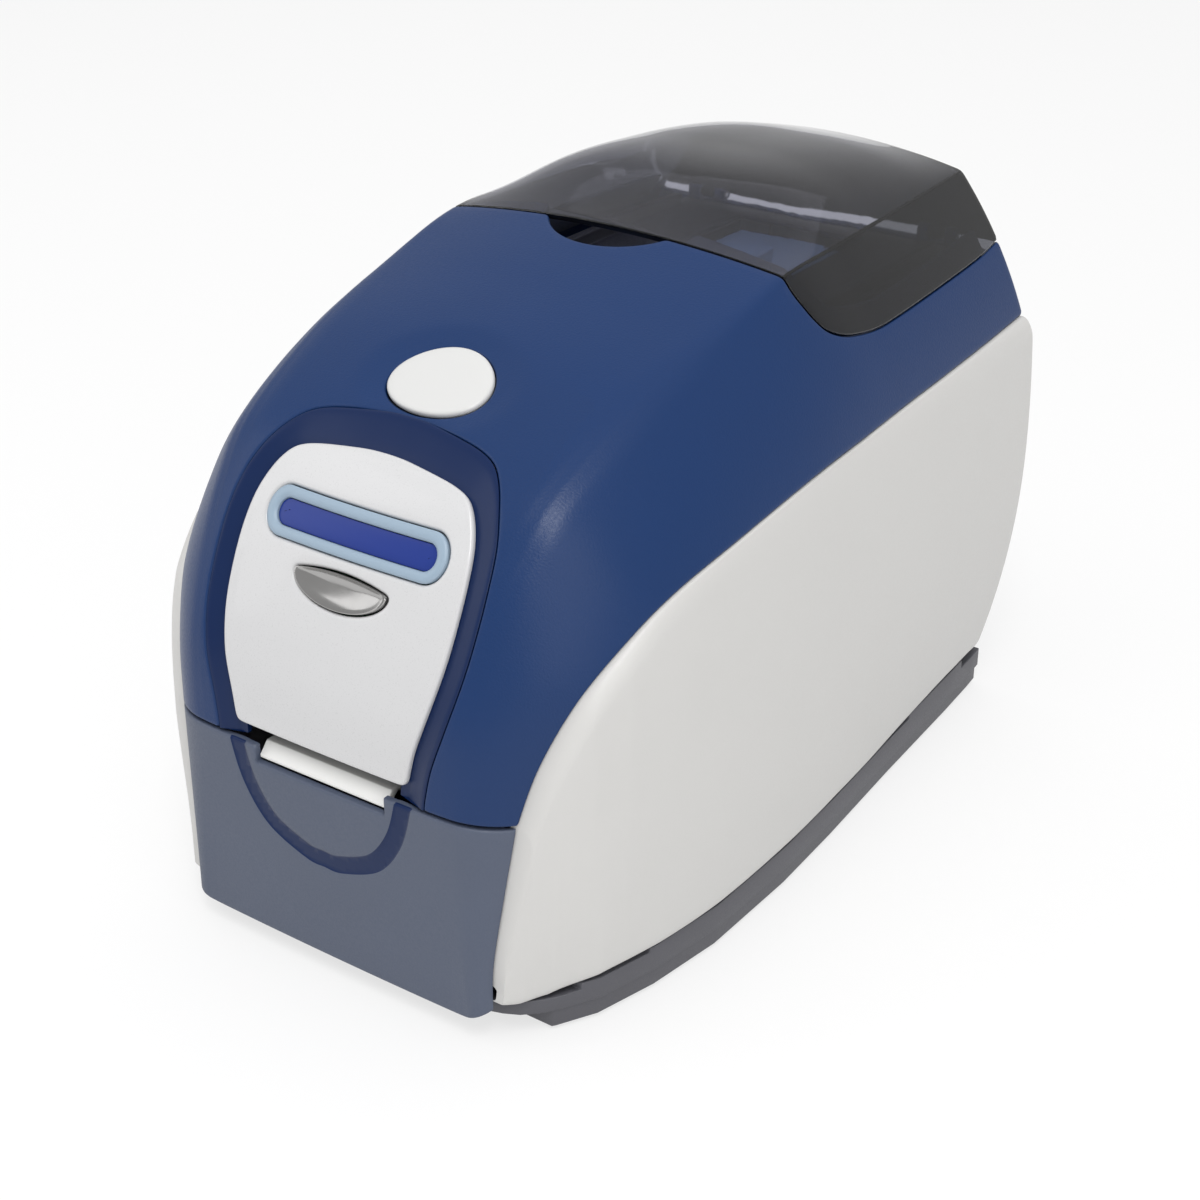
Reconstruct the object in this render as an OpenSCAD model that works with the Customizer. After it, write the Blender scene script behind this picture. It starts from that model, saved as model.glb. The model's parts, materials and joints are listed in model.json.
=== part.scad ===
// Desktop ID card printer: a blue hood hinged at the rear over a steel frame, a smoke lid over the
// card hopper, light grey side panels and a dark base tray. Millimetres, +Z up, front towards -Y.
// The origin is at the middle of the footprint, on the surface that the feet stand on.

/* [Body] */
// Overall width over the side panels
body_w = 203; // [190:1:220]
// Overall depth, front face to rear face
body_d = 313.2; // [300:0.2:340]
// Height of the crease where the hood's top meets its sides
crease_z = 218; // [205:1:225]
// Height of the seam between the hood and the front fascia
seam_z = 83; // [78:1:88]
// Wall of the moulded hood and fascia
wall = 2.6; // [2:0.1:3.2]
// Gap between neighbouring covers
gap = 0.5; // [0.3:0.1:1]

/* [Lid] */
// Wall of the transparent lid
lid_wall = 2.2; // [1.6:0.1:3]
// Height of the lid's lower edge along the sides
lid_low_z = 191.4; // [186:0.2:196]
// Half width of the finger notch in front of the lid
notch_half_w = 25; // [18:1:30]
// Depth of the finger notch
notch_depth = 13; // [8:1:16]

/* [Side panels] */
// Wall of the side panels
panel_wall = 3; // [2.4:0.2:4]
// Width of the rounded edge round each side panel
panel_round = 8; // [5:1:10]
// Height of the side panels' lower edge
panel_low_z = 18; // [15:1:22]

/* [Base] */
// Thickness of the rubber feet
foot_t = 1.5; // [1:0.5:3]
// Radius of the rubber feet
foot_r = 8; // [6:1:10]
// Floor thickness of the base tray
tray_floor = 2.5; // [2:0.5:4]
// Wall of the base tray
tray_wall = 2.5; // [2:0.5:4]
// Thickness of the steel base plate
plate_t = 1.2; // [1:0.1:2]

/* [Face plate] */
// Half width of the face plate at its widest
plate_half_w = 46.2; // [42:0.2:48]
// Height of the face plate's lower edge
plate_low_z = 89; // [88:0.5:92]
// Height of the face plate's top edge at its middle
plate_top_z = 180.5; // [174:0.5:184]
// Width of the smooth surround of the face plate
surround_w = 8.2; // [6:0.2:9]
// Thickness of the face plate
plate_wall = 2; // [1.6:0.1:2.4]
// Length of the status window with its bezel
window_l = 74.4; // [66:0.4:78]
// Height of the bezel of the status window
window_h = 15; // [12:0.5:17]
// Length of the lens in the status window
lens_l = 66; // [58:0.5:68]
// Height of the lens in the status window
lens_h = 8; // [6:0.5:9]
// Height of the window's centre
window_z = 158.6; // [154:0.2:162]
// Half width of the half-moon control button
crescent_half_w = 19.5; // [16:0.5:22]
// Height of the half-moon control button
crescent_h = 10.8; // [8:0.4:12]
// Height of the straight top edge of the control button
crescent_z = 147; // [144:0.5:149]

/* [Release button] */
// Half width of the release button
release_half_w = 19.4; // [16:0.2:22]
// Length of the release button along the slope
release_l = 30.6; // [26:0.2:34]
// Distance of the release button's centre behind the front face
release_y_off = 69.4; // [64:0.2:74]

/* [Card path] */
// Length of a card
card_l = 85.6; // [80:0.1:90]
// Width of a card
card_w = 54; // [50:0.1:58]
// Thickness of a card
card_t = 0.76; // [0.3:0.02:1]
// Height of the card path
card_z = 84; // [83.5:0.1:84.5]
// Room round a card in the hopper
card_room = 0.7; // [0.4:0.1:1.2]
// Wall of the hopper
hopper_wall = 2.5; // [2:0.1:3.5]
// Height of the hopper's rim
hopper_top = 186; // [180:1:188]
// Radius of the drive rollers
roller_r = 6.3; // [5.5:0.1:7]
// Radius of the roller shafts
shaft_r = 3; // [2:0.1:3.5]
// Radial running clearance of the shafts
run_fit = 0.05; // [0.02:0.01:0.09]
// Distance of the pick roller in front of the rear face
pick_off = 59.6; // [56:0.2:62]
// Height of the ribbon spools
spool_z = 112; // [110:0.5:116]
// Radius of the full ribbon roll
ribbon_r = 15; // [12:0.5:16]
// Thickness of the steel frame plates
frame_t = 1.5; // [1.2:0.1:2]
// Half the inside distance between the frame plates
frame_in = 36; // [35:0.5:38]

/* [Gears] */
// Gear module
gear_m = 1; // [0.9:0.05:1.1]
// Face width of the gears
gear_w = 5; // [4:0.5:6]
// Teeth on each roller gear
roller_teeth = 20; // [18:1:24]
// Teeth on the gear between pick and feed rollers
pick_idler_teeth = 39; // [35:1:43]
// Teeth on the gear between feed and platen rollers
feed_idler_teeth = 54; // [48:1:56]
// Teeth on the gear between platen and exit rollers
exit_idler_teeth = 56; // [50:1:58]
// Teeth on the motor pinion
pinion_teeth = 18; // [17:1:20]
// Play between meshing teeth
gear_play = 0.24; // [0.15:0.01:0.3]

/* [Hinges] */
// Radius of the hood's hinge pins
hood_pin_r = 1.8; // [1.5:0.1:2.4]
// Radius of the lid's hinge pins
lid_pin_r = 1.2; // [0.9:0.1:1.4]

/* [Hidden] */
$fn = 48;

// Colours of the photographed finishes
blue = [0.13, 0.22, 0.42];
slate = [0.25, 0.29, 0.42];
smooth_blue = [0.09, 0.18, 0.38];
light_grey = [0.80, 0.80, 0.79];
silver = [0.86, 0.86, 0.86];
dark_grey = [0.24, 0.24, 0.26];
steel = [0.66, 0.67, 0.69];
black = [0.09, 0.09, 0.10];
card_blue = [0.42, 0.56, 0.72];

// ---------- places that several pieces share ----------
half_w = body_w / 2;
front_y = -body_d / 2;
rear_y = body_d / 2;
tray_floor_z = foot_t + tray_floor;
base_plate_z = tray_floor_z + plate_t;
roller_z = card_z - card_t / 2 - roller_r;
pick_y = rear_y - pick_off;
gear_x = -(frame_in + frame_t + 1.5);
roller_gear_r = roller_teeth * gear_m / 2;
pick_idler_r = pick_idler_teeth * gear_m / 2;
feed_idler_r = feed_idler_teeth * gear_m / 2;
exit_idler_r = exit_idler_teeth * gear_m / 2;
pinion_r = pinion_teeth * gear_m / 2;
pick_idler_y = pick_y - roller_gear_r - pick_idler_r;
feed_y = pick_idler_y - pick_idler_r - roller_gear_r;
feed_idler_y = feed_y - roller_gear_r - feed_idler_r;
platen_y = feed_idler_y - feed_idler_r - roller_gear_r;
exit_idler_y = platen_y - roller_gear_r - exit_idler_r;
exit_y = exit_idler_y - exit_idler_r - roller_gear_r;
motor_z = roller_z - feed_idler_r - pinion_r;
supply_y = feed_y - 30;
takeup_y = exit_y + 28;
hopper_front_y = feed_y + 10.6;
hopper_rear_y = hopper_front_y + card_l + 2 * card_room + 2 * hopper_wall;
hopper_mid_y = (hopper_front_y + hopper_rear_y) / 2;
hopper_in_w = card_w + 2 * card_room;
hood_axis_y = rear_y - 3.6;
hood_axis_z = crease_z - 48.5;
hood_back_low_z = hood_axis_z - 9;
rear_panel_top = hood_axis_z - 10.4;
lid_axis_y = rear_y - 2.8;
lid_axis_z = lid_low_z + 0.6;
catch_y = exit_y;
catch_z = 112;
catch_r = 3;
latch_axis_y = front_y + 56.6;
latch_axis_z = crease_z - 52;

// ---------- curves ----------
// Catmull-Rom blend of the rows of a list, at position u counted in rows
function clamped(a, i) = a[max(0, min(len(a) - 1, i))];
function blend(a, u) =
    let (i = max(0, min(len(a) - 2, floor(u))), t = u - i,
        p0 = clamped(a, i - 1), p1 = a[i], p2 = a[i + 1], p3 = clamped(a, i + 2))
    0.5 * (2 * p1 + (p2 - p0) * t + (2 * p0 - 5 * p1 + 4 * p2 - p3) * t * t
        + (3 * p1 - p0 - 3 * p2 + p3) * t * t * t);
// Row position in a table [[key, value], ...] whose keys rise, for a given key
function row_of(table, key, i = 0) =
    i >= len(table) - 2 || key < table[i + 1][0]
        ? i + (key - table[i][0]) / (table[i + 1][0] - table[i][0]) : row_of(table, key, i + 1);
function smooth_lookup(table, key) = blend(table, row_of(table, key))[1];
function lerp(a, b, t) = a + (b - a) * t;
function unit(v) = v / norm(v);
function flat(a) = [for (row = a) for (p = row) p];

// The hood and lid share one surface. Each station holds the crease (x, y, z), the seam with the
// side panel (x, y, z), the crown of the top over the crease, and how square that crown is.
side_x = half_w - 3;
hood_stations = [
    [51.5, front_y + 0.6, seam_z - 0.5, side_x - 26.5, front_y + 12.2, seam_z - 1.5, 0.6, 2],
    [54.4, front_y + 4.1, seam_z + 29, side_x - 21.7, front_y + 18, seam_z + 19.5, 1.5, 2],
    [57.3, front_y + 15.1, seam_z + 56, side_x - 14.7, front_y + 29.6, seam_z + 40.5, 2, 2],
    [61, front_y + 29.1, seam_z + 79.5, side_x - 8.2, front_y + 49.6, seam_z + 56.5, 3, 2],
    [64.1, front_y + 46.6, crease_z - 38, side_x - 4.5, front_y + 68.1, seam_z + 65, 3.8, 2],
    [67.5, front_y + 84.1, crease_z - 20.4, side_x - 1.4, front_y + 97.6, seam_z + 71.4, 5, 2],
    [69.7, -30, crease_z - 9, side_x, -14, seam_z + 77.5, 6, 2],
    [70, 8, crease_z - 0.3, side_x - 0.5, 22.5, seam_z + 79.6, 7.3, 2],
    [68.5, 46, crease_z, side_x - 1.5, 50, seam_z + 80.8, 17.6, 3.4],
    [66, 85, crease_z, side_x - 3, 85, seam_z + 81.6, 17.4, 3.4],
    [63, 124, crease_z, side_x - 5.2, 124, seam_z + 82.3, 13.5, 3],
    [60.2, rear_y, crease_z, side_x - 7.5, rear_y, seam_z + 83, 6.4, 2],
    [59.6, rear_y + 6, crease_z, side_x - 8, rear_y + 6, seam_z + 83.2, 5, 2]];
fascia_stations = [
    [56, front_y + 2, 8, side_x - 33.2, front_y + 6.6, 12, 0.6, 2],
    [54, front_y + 1.4, 30, side_x - 32.7, front_y + 6.8, 30, 0.6, 2],
    [52.5, front_y + 0.9, 56, side_x - 29.5, front_y + 9.6, 58, 0.6, 2],
    [51.5, front_y + 0.6, seam_z, side_x - 26.6, front_y + 12.2, seam_z - 1.4, 0.6, 2],
    [51.5, front_y + 0.8, seam_z + 6, side_x - 26.2, front_y + 12.4, seam_z + 5, 0.6, 2]];
side_bulge = 2.5;

// Point of the surface at row u and across position v: 0 is the centre line, 1 the crease and
// 2 the seam with the side panel
function skin(st, u, v) =
    let (q = blend(st, u), fore = blend(st, max(0, u - 0.02)), aft = blend(st, u + 0.02),
        along = unit([for (i = [0:2]) aft[i] - fore[i]]), up = unit([0, -along[2], along[1]]),
        a = abs(v), crease = [q[0], q[1], q[2]], seam = [q[3], q[4], q[5]], w = a - 1,
        out = unit(cross(seam - crease, along)),
        p = a <= 1 ? [q[0] * a, q[1], q[2]] + up * q[6] * (1 - pow(a, q[7]))
            : lerp(crease, seam, w) + out * side_bulge * 4 * w * (1 - w))
    [v < 0 ? -p[0] : p[0], p[1], p[2]];
function skin_normal(st, u, v) =
    unit(cross(skin(st, u, v + 0.03) - skin(st, u, v - 0.03), skin(st, u + 0.03, v) - skin(st, u - 0.03, v)));
function skin_at(st, u, v, depth) =
    depth == 0 ? skin(st, u, v)
        : abs(v) > 1.99 ? skin(st, u, v) - [sign(v) * depth * 1.15, 0, 0]
            : skin(st, u, v) - skin_normal(st, u, v) * depth;

// Closed sheet between two grids of points, outer and inner, with the same rows and columns
module sheet(outer, inner) {
    rows = len(outer);
    cols = len(outer[0]);
    n = rows * cols;
    id = function(r, c, s) r * cols + c + s * n;
    polyhedron(concat(flat(outer), flat(inner)), concat(
        [for (r = [0:rows - 2]) for (c = [0:cols - 2]) each [
            [id(r, c, 0), id(r + 1, c, 0), id(r + 1, c + 1, 0)], [id(r, c, 0), id(r + 1, c + 1, 0), id(r, c + 1, 0)],
            [id(r, c, 1), id(r + 1, c + 1, 1), id(r + 1, c, 1)], [id(r, c, 1), id(r, c + 1, 1), id(r + 1, c + 1, 1)]]],
        [for (r = [0:rows - 2]) each [
            [id(r, 0, 0), id(r, 0, 1), id(r + 1, 0, 1)], [id(r, 0, 0), id(r + 1, 0, 1), id(r + 1, 0, 0)],
            [id(r, cols - 1, 0), id(r + 1, cols - 1, 1), id(r, cols - 1, 1)],
            [id(r, cols - 1, 0), id(r + 1, cols - 1, 0), id(r + 1, cols - 1, 1)]]],
        [for (c = [0:cols - 2]) each [
            [id(0, c, 0), id(0, c + 1, 1), id(0, c, 1)], [id(0, c, 0), id(0, c + 1, 0), id(0, c + 1, 1)],
            [id(rows - 1, c, 0), id(rows - 1, c, 1), id(rows - 1, c + 1, 1)],
            [id(rows - 1, c, 0), id(rows - 1, c + 1, 1), id(rows - 1, c + 1, 0)]]]));
}
module skin_sheet(st, us, vs, near, far)
    sheet([for (u = us) [for (v = vs) skin_at(st, u, v, near)]],
        [for (u = us) [for (v = vs) skin_at(st, u, v, far)]]);

// Extrusions of an outline drawn as seen from the front, and as seen from the side
module from_front(y0, y1) translate([0, y1, 0]) rotate([90, 0, 0]) linear_extrude(y1 - y0) children();
module from_side(x0, x1) translate([x0, 0, 0]) rotate([90, 0, 90]) linear_extrude(x1 - x0) children();
module rod(r, x0, x1, y, z) translate([x0, y, z]) rotate([0, 90, 0]) cylinder(r = r, h = x1 - x0);

// ---------- solved places on the skin ----------
// Row whose point has the given coordinate along one axis, at across position v, or on the
// vertical plane at distance x from the middle
function v_of(st, u, x) = x / blend(st, u)[0];
function u_where(st, axis, value, x, lo, hi, n = 14) =
    let (m = (lo + hi) / 2)
    n == 0 ? m : skin(st, m, v_of(st, m, x))[axis] < value
        ? u_where(st, axis, value, x, m, hi, n - 1) : u_where(st, axis, value, x, lo, m, n - 1);
// Point at depth below the front of the hood, at a given x and height
function on_front(x, z, depth) =
    let (u = u_where(hood_stations, 2, z, x, 0, 6)) skin_at(hood_stations, u, v_of(hood_stations, u, x), depth);
// Height of the inside of the hood's top at a given x and y
function under_top(x, y) =
    let (u = u_where(hood_stations, 1, y, x, 2, 11)) skin_at(hood_stations, u, v_of(hood_stations, u, x), wall)[2];

rear_u = 11;
hood_us = [for (i = [0:24]) 0.065 + (rear_u - 0.065) * i / 24];
hood_vs = [-2, -1.8, -1.5, -1.2, -1.05, -1, -0.93, -0.8, -0.6, -0.3, 0,
    0.3, 0.6, 0.8, 0.93, 1, 1.05, 1.2, 1.5, 1.8, 2];

// ---------- outlines seen from the front ----------
plate_half = [[36, seam_z + 1.4], [36.4, plate_low_z], [38.5, 100], [42.5, 114], [plate_half_w - 0.8, 129],
    [plate_half_w, 144], [plate_half_w - 0.7, 157], [plate_half_w - 3, plate_top_z - 14.5],
    [38, plate_top_z - 6.6], [30, plate_top_z - 3], [10, plate_top_z - 0.4], [0, plate_top_z]];
plate_n = 26;
function plate_side(i) = blend(plate_half, (len(plate_half) - 1) * i / plate_n);
function plate_out(i, grow) =
    let (a = plate_side(max(0, i - 0.3)), b = plate_side(min(plate_n, i + 0.3)), t = unit(b - a))
    plate_side(i) + [t[1], -t[0]] * grow;
function horseshoe(grow) = concat([for (i = [0:plate_n]) plate_out(i, grow)],
    [for (i = [plate_n - 1:-1:0]) [-plate_out(i, grow)[0], plate_out(i, grow)[1]]]);
module plate_shape(grow, low) polygon(concat([[-36 - grow, low], [36 + grow, low]], horseshoe(grow)));
module stadium(l, h) union() {
    square([l - h, h], center = true);
    translate([(l - h) / 2, 0]) circle(d = h);
    translate([(h - l) / 2, 0]) circle(d = h);
}
module crescent(grow) polygon(concat(
    [for (i = [0:16]) let (a = 180 + 180 * i / 16)
        [(crescent_half_w + grow) * cos(a), crescent_z - 2 + (crescent_h - 2 + grow) * sin(a)]],
    [for (i = [1:7]) let (q = 1 - i / 4)
        [(crescent_half_w + grow) * q, crescent_z - 2 + (2 + grow) * (1 - q * q)]]));
module egg(grow) polygon([for (i = [0:35]) let (a = 10 * i)
    [(release_half_w + grow) * cos(a) * (1 - 0.13 * sin(a)), (release_l / 2 + grow) * sin(a)]]);

// ---------- base ----------
base_half = [[54, front_y + 6.4], [60, front_y + 8.4], [66, front_y + 10.4], [71, front_y + 13],
    [75.5, front_y + 17.2], [79.6, front_y + 22.6], [87, front_y + 36], [93.2, front_y + 59.5], [97.6, -66],
    [98, -20.5], [96, 16.4], [92, 68.5], [88.4, 124.6], [86.6, rear_y - 9.5], [85.6, rear_y]];
function base_side(inset) = [for (p = base_half) [p[0] - inset, p[1]]];
module base_plan(inset, front, back) intersection() {
    polygon(concat(base_side(inset), [for (i = [len(base_half) - 1:-1:0]) [inset - base_half[i][0], base_half[i][1]]]));
    translate([-body_w, front]) square([2 * body_w, back - front]);
}
seat_gap = 0.3;
foot_step = front_y + 21.4;
step_y = front_y + 30;
lip_inset = 5.5;
shelf_z = foot_t + 7;
module base_tray() {
    color(dark_grey) difference() {
        union() {
            translate([0, 0, foot_t]) linear_extrude(7.5) base_plan(1.2, foot_step, rear_y);
            // The front stands clear of the floor, behind the fascia's lower edge
            translate([0, 0, shelf_z]) linear_extrude(5.4) base_plan(0, front_y, step_y + 1);
            translate([0, 0, shelf_z]) linear_extrude(panel_low_z - 1.5 - shelf_z) base_plan(0, step_y, rear_y);
            translate([0, 0, shelf_z]) linear_extrude(panel_low_z + 0.3 - shelf_z) base_plan(0, -100, rear_y - 20);
            translate([0, 0, shelf_z]) linear_extrude(panel_low_z + 2.2 - shelf_z) base_plan(0, 84, rear_y - 20);
            translate([0, 0, foot_t]) linear_extrude(28) base_plan(lip_inset, step_y, rear_y - 20);
            for (s = [-1, 1]) {
                translate([s * 36 - 6, front_y + 2 + wall, foot_t + 8]) cube([12, 6, 9]);
                for (y = [-60, 10, 80, 120]) {
                    reach = min(panel_x(y - 5, 27), panel_x(y + 5, 27)) - panel_wall - seat_gap;
                    translate([s > 0 ? reach - 12 : -reach, y - 5, 27]) cube([12, 10, 6]);
                }
            }
        }
        translate([0, 0, tray_floor_z]) linear_extrude(60) base_plan(lip_inset + tray_wall, foot_step + tray_wall, rear_y - 2.5);
        translate([0, 0, shelf_z + 2.5]) linear_extrude(60) base_plan(lip_inset + tray_wall, front_y + 9, foot_step + 4);
        for (s = [-1, 1]) for (y = [-118, 128]) translate([s * 66, y, foot_t - 1]) cylinder(r = 2.1, h = 1.8);
    }
}

module rubber_feet() {
    color(black) for (s = [-1, 1]) for (y = [-118, 128]) translate([s * 66, y, 0]) {
        cylinder(r = foot_r, h = foot_t);
        cylinder(r = 2, h = foot_t + 0.8);
    }
}
module base_plate() {
    color(steel) difference() {
        translate([-76, front_y + 26, tray_floor_z]) cube([152, body_d - 34, plate_t]);
        for (s = [-1, 1]) {
            translate([s * 78, front_y + 22, tray_floor_z - 1]) cylinder(r = 26, h = 4);
            for (y = [-90, -30, 30, 90]) translate([s * 56, y, tray_floor_z - 1]) cylinder(r = 5, h = 4);
        }
    }
}

// ---------- fascia and side panels ----------
module front_fascia() {
    color(slate) difference() {
        skin_sheet(fascia_stations, [for (i = [0:9]) 2.985 * i / 9],
            [-2, -1.7, -1.35, -1.1, -1, -0.9, -0.5, 0, 0.5, 0.9, 1, 1.1, 1.35, 1.7, 2], 0, wall);
        translate([-tongue_w / 2 - gap, front_y - 5, card_z - 7.7]) cube([tongue_w + 2 * gap, 20, 12]);
    }
}
tongue_w = card_w + 0.3;
module exit_chute() {
    color(silver) {
        from_side(-tongue_w / 2, tongue_w / 2) polygon([[front_y + 1.9, card_z - 5.2],
            [front_y + 5.5, card_z - 1.2], [exit_y - roller_r - 1.5, card_z - 1.2],
            [exit_y - roller_r - 1.5, card_z - 3.2], [front_y + 8, card_z - 3.2], [front_y + 4.4, card_z - 6.4],
            [front_y + 1.9, card_z - 6.4]]);
        for (s = [-1, 1]) from_side(s > 0 ? tongue_w / 2 : -frame_in, s > 0 ? frame_in : -tongue_w / 2)
            polygon([[exit_y - 15, card_z - 7], [exit_y - 8.5, card_z - 7], [exit_y - 8.5, card_z + 1.5],
                [exit_y - 15, card_z + 1.5]]);
    }
}

// The side panel runs from the seam with the hood and fascia down to its lower edge. Marks 0 to 4
// count up the fascia's seam and the marks from 4 on follow the hood's stations.
fascia_marks = [0.54, 0.95, 1.25, 2.04, 2.985];
function panel_edge(w) = w >= 4 ? skin(hood_stations, w - 4, 2)
    : let (i = floor(w)) skin(fascia_stations, lerp(fascia_marks[i], fascia_marks[i + 1], w - i), 2);
panel_low = [[front_y + 6.4, 16.2], [front_y + 7.4, 15], [front_y + 9.4, 14.5], [front_y + 12.4, 14.4],
    [front_y + 18, 15], [front_y + 26.7, 16.8], [front_y + 36.4, 18.2], [front_y + 50, 18.7], [-88, 18.9],
    [-59, 19.3], [-14, 19.5], [22, 19.4], [50, 19.5], [84, 21.2], [122, 22.6], [rear_y - 8.5, 21.4]];
mid_table = [[front_y + 6, 70.2], [front_y + 12.6, 78.4], [front_y + 21.6, 85.2], [front_y + 29.6, 89.6],
    [front_y + 43.6, 93.8], [-88, 97.6], [-59, 100], [-25, half_w - 0.1], [22, half_w - 0.1], [79, half_w - 1],
    [rear_y + 1, half_w - 3.1]];
foot_table = [[front_y + 6, 69], [front_y + 12, 73.8], [front_y + 20, 79], [front_y + 35, 88],
    [front_y + 59.5, 94.8], [-66, 99], [-20.5, 99.4], [16.4, 97.2], [68.5, 93.2], [124.6, 89.5], [rear_y + 1, 86.8]];
panel_mid_z = 110;
function panel_x(y, z) =
    let (m = smooth_lookup(mid_table, y), f = smooth_lookup(foot_table, y))
    z < panel_mid_z ? m - (m - f) * pow((panel_mid_z - z) / (panel_mid_z - 18), 2)
        : m - 2.2 * pow((z - panel_mid_z) / 50, 2);
panel_rows = 34;
panel_marks = [0, 0.5, 1.8, 4.2, 8];
function panel_fracs(len_yz) =
    let (k = min(1, len_yz / 24), a = [for (m = panel_marks) m * k / len_yz],
        b = [for (i = [1:4]) lerp(a[4], 1 - 5 * k / len_yz, i / 5)],
        c = [for (m = [5, 2.6, 1, 0.2, 0]) 1 - m * k / len_yz])
    concat(a, b, c);
function panel_point(u, i, inside) =
    let (e = panel_edge(u), l = blend(panel_low, u), step = panel_edge(u + 0.04) - panel_edge(u - 0.04),
        t2 = unit([step[1], step[2]]), ey = e[1] + t2[1] * gap, ez = e[2] - t2[0] * gap,
        len_yz = norm([ey - l[0], ez - l[1]]), t = panel_fracs(len_yz)[i], lean = 1 + 2 * u / 15,
        y = lerp(ey, l[0], pow(t, lean)), z = lerp(ez, l[1], t), d = t * len_yz / min(1, len_yz / 24),
        k = d < panel_round ? sqrt(1 - pow(1 - d / panel_round, 2)) : 1,
        d2 = (1 - t) * len_yz / min(1, len_yz / 24), k2 = d2 < 5 ? sqrt(max(0, 1 - pow(1 - d2 / 5, 2))) : 1,
        x = lerp(e[0] + 0.3, panel_x(y, z), k) - (1 - k2) * 1.6)
    [x - (inside ? panel_wall : 0), y, z];
module side_panel(s) {
    n = len(panel_marks) * 2 + 4;
    us = [for (r = [0:panel_rows]) 0.2 + 14.75 * r / panel_rows];
    color(light_grey) scale([s, 1, 1])
        sheet([for (u = us) [for (i = [0:n - 1]) panel_point(u, i, false)]],
            [for (u = us) [for (i = [0:n - 1]) panel_point(u, i, true)]]);
}
module side_panel_left() mirror([1, 0, 0]) side_panel(1);
module side_panel_right() side_panel(1);

rear_half = [[half_w - 18.5, panel_low_z - 1.5], [half_w - 17.5, 22], [half_w - 11, 60], [half_w - 8, 100],
    [half_w - 8, 130], [half_w - 9, 150], [half_w - 11, rear_panel_top]];
module rear_shape(inset) polygon(concat([for (p = rear_half) [p[0] - inset, p[1]]],
    [for (i = [len(rear_half) - 1:-1:0]) [-rear_half[i][0] + inset, rear_half[i][1]]]));
module rear_panel() {
    color(dark_grey) difference() {
        union() {
            from_front(rear_y - wall, rear_y) rear_shape(0);
            difference() {
                from_front(rear_y - 18, rear_y - wall) rear_shape(0);
                from_front(rear_y - 20, rear_y) rear_shape(2);
            }
        }
        for (hole = [[power_x, power_z, power_w, power_h], [switch_x, switch_z, switch_w, switch_h],
            [usb_x, usb_z, usb_w, usb_h], [lan_x, lan_z, lan_w, lan_h]])
            translate([hole[0], rear_y - wall - 1, hole[1]]) cube([hole[2], wall + 2, hole[3]]);
        for (i = [0:8]) translate([-40 + i * 10 - 2, rear_y - wall - 1, 90]) cube([4, wall + 2, 34]);
    }
}

// ---------- hood ----------
release_y = front_y + release_y_off;
release_u = u_where(hood_stations, 1, release_y, 0, 3, 7);
release_z = skin(hood_stations, release_u, 0)[2];
release_n = skin_normal(hood_stations, release_u, 0);
release_tilt = atan2(-release_n[1], release_n[2]);
module at_release() translate([0, release_y, release_z]) rotate([release_tilt, 0, 0]) children();

// The lid's outline: its sides are cut as seen from the side, its front edge as seen from above
lid_side_seam = [[8, crease_z - 0.5], [8.7, lid_low_z + 21.5], [10.5, lid_low_z + 17.1], [13.4, lid_low_z + 12],
    [17.7, lid_low_z + 7.4], [26.1, lid_low_z + 3.6], [36.7, lid_low_z + 1.3], [49.2, lid_low_z - 0.2],
    [64.8, lid_low_z - 0.4], [99.1, lid_low_z], [137.3, lid_low_z + 0.7], [rear_y, lid_low_z + 2.1]];
module lid_zone(grow, back) intersection() {
    from_side(-body_w, body_w) polygon(concat([[-20, 260], [-20, crease_z - 0.5 - grow]],
        [for (p = lid_side_seam) [p[0] - grow, p[1] - grow]],
        [[back, lid_low_z + 2.1 - grow], [back, 260]]));
    translate([0, 0, lid_low_z - 20]) linear_extrude(80) polygon(concat(
        [for (i = [-8:8]) [i * 11, 4.5 - grow + 3.5 * pow(i * 11 / 70, 2)]], [[88, back], [-88, back]]));
}
notch_r = (pow(notch_half_w, 2) + pow(notch_depth, 2)) / (2 * notch_depth);
notch_y = 4.5 - notch_depth + notch_r;
function rear_x(z) = let (w = (crease_z - z) / (crease_z - seam_z - 83)) lerp(60.2, side_x - 7.5, w) + side_bulge * 4 * w * (1 - w);
back_zs = [seam_z + 83, 172, 179, 185, lid_axis_z - 3.2];
corner_x = half_w - 14.8;
back_half = concat([[corner_x - 0.2, hood_back_low_z], [corner_x - 0.2, seam_z + 82.6]], [for (z = back_zs) [rear_x(z) - 0.4, z]]);
eye_r = 2.6;
eye_xs = [44.3, 56.3];
eye_w = 5.4;
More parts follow.
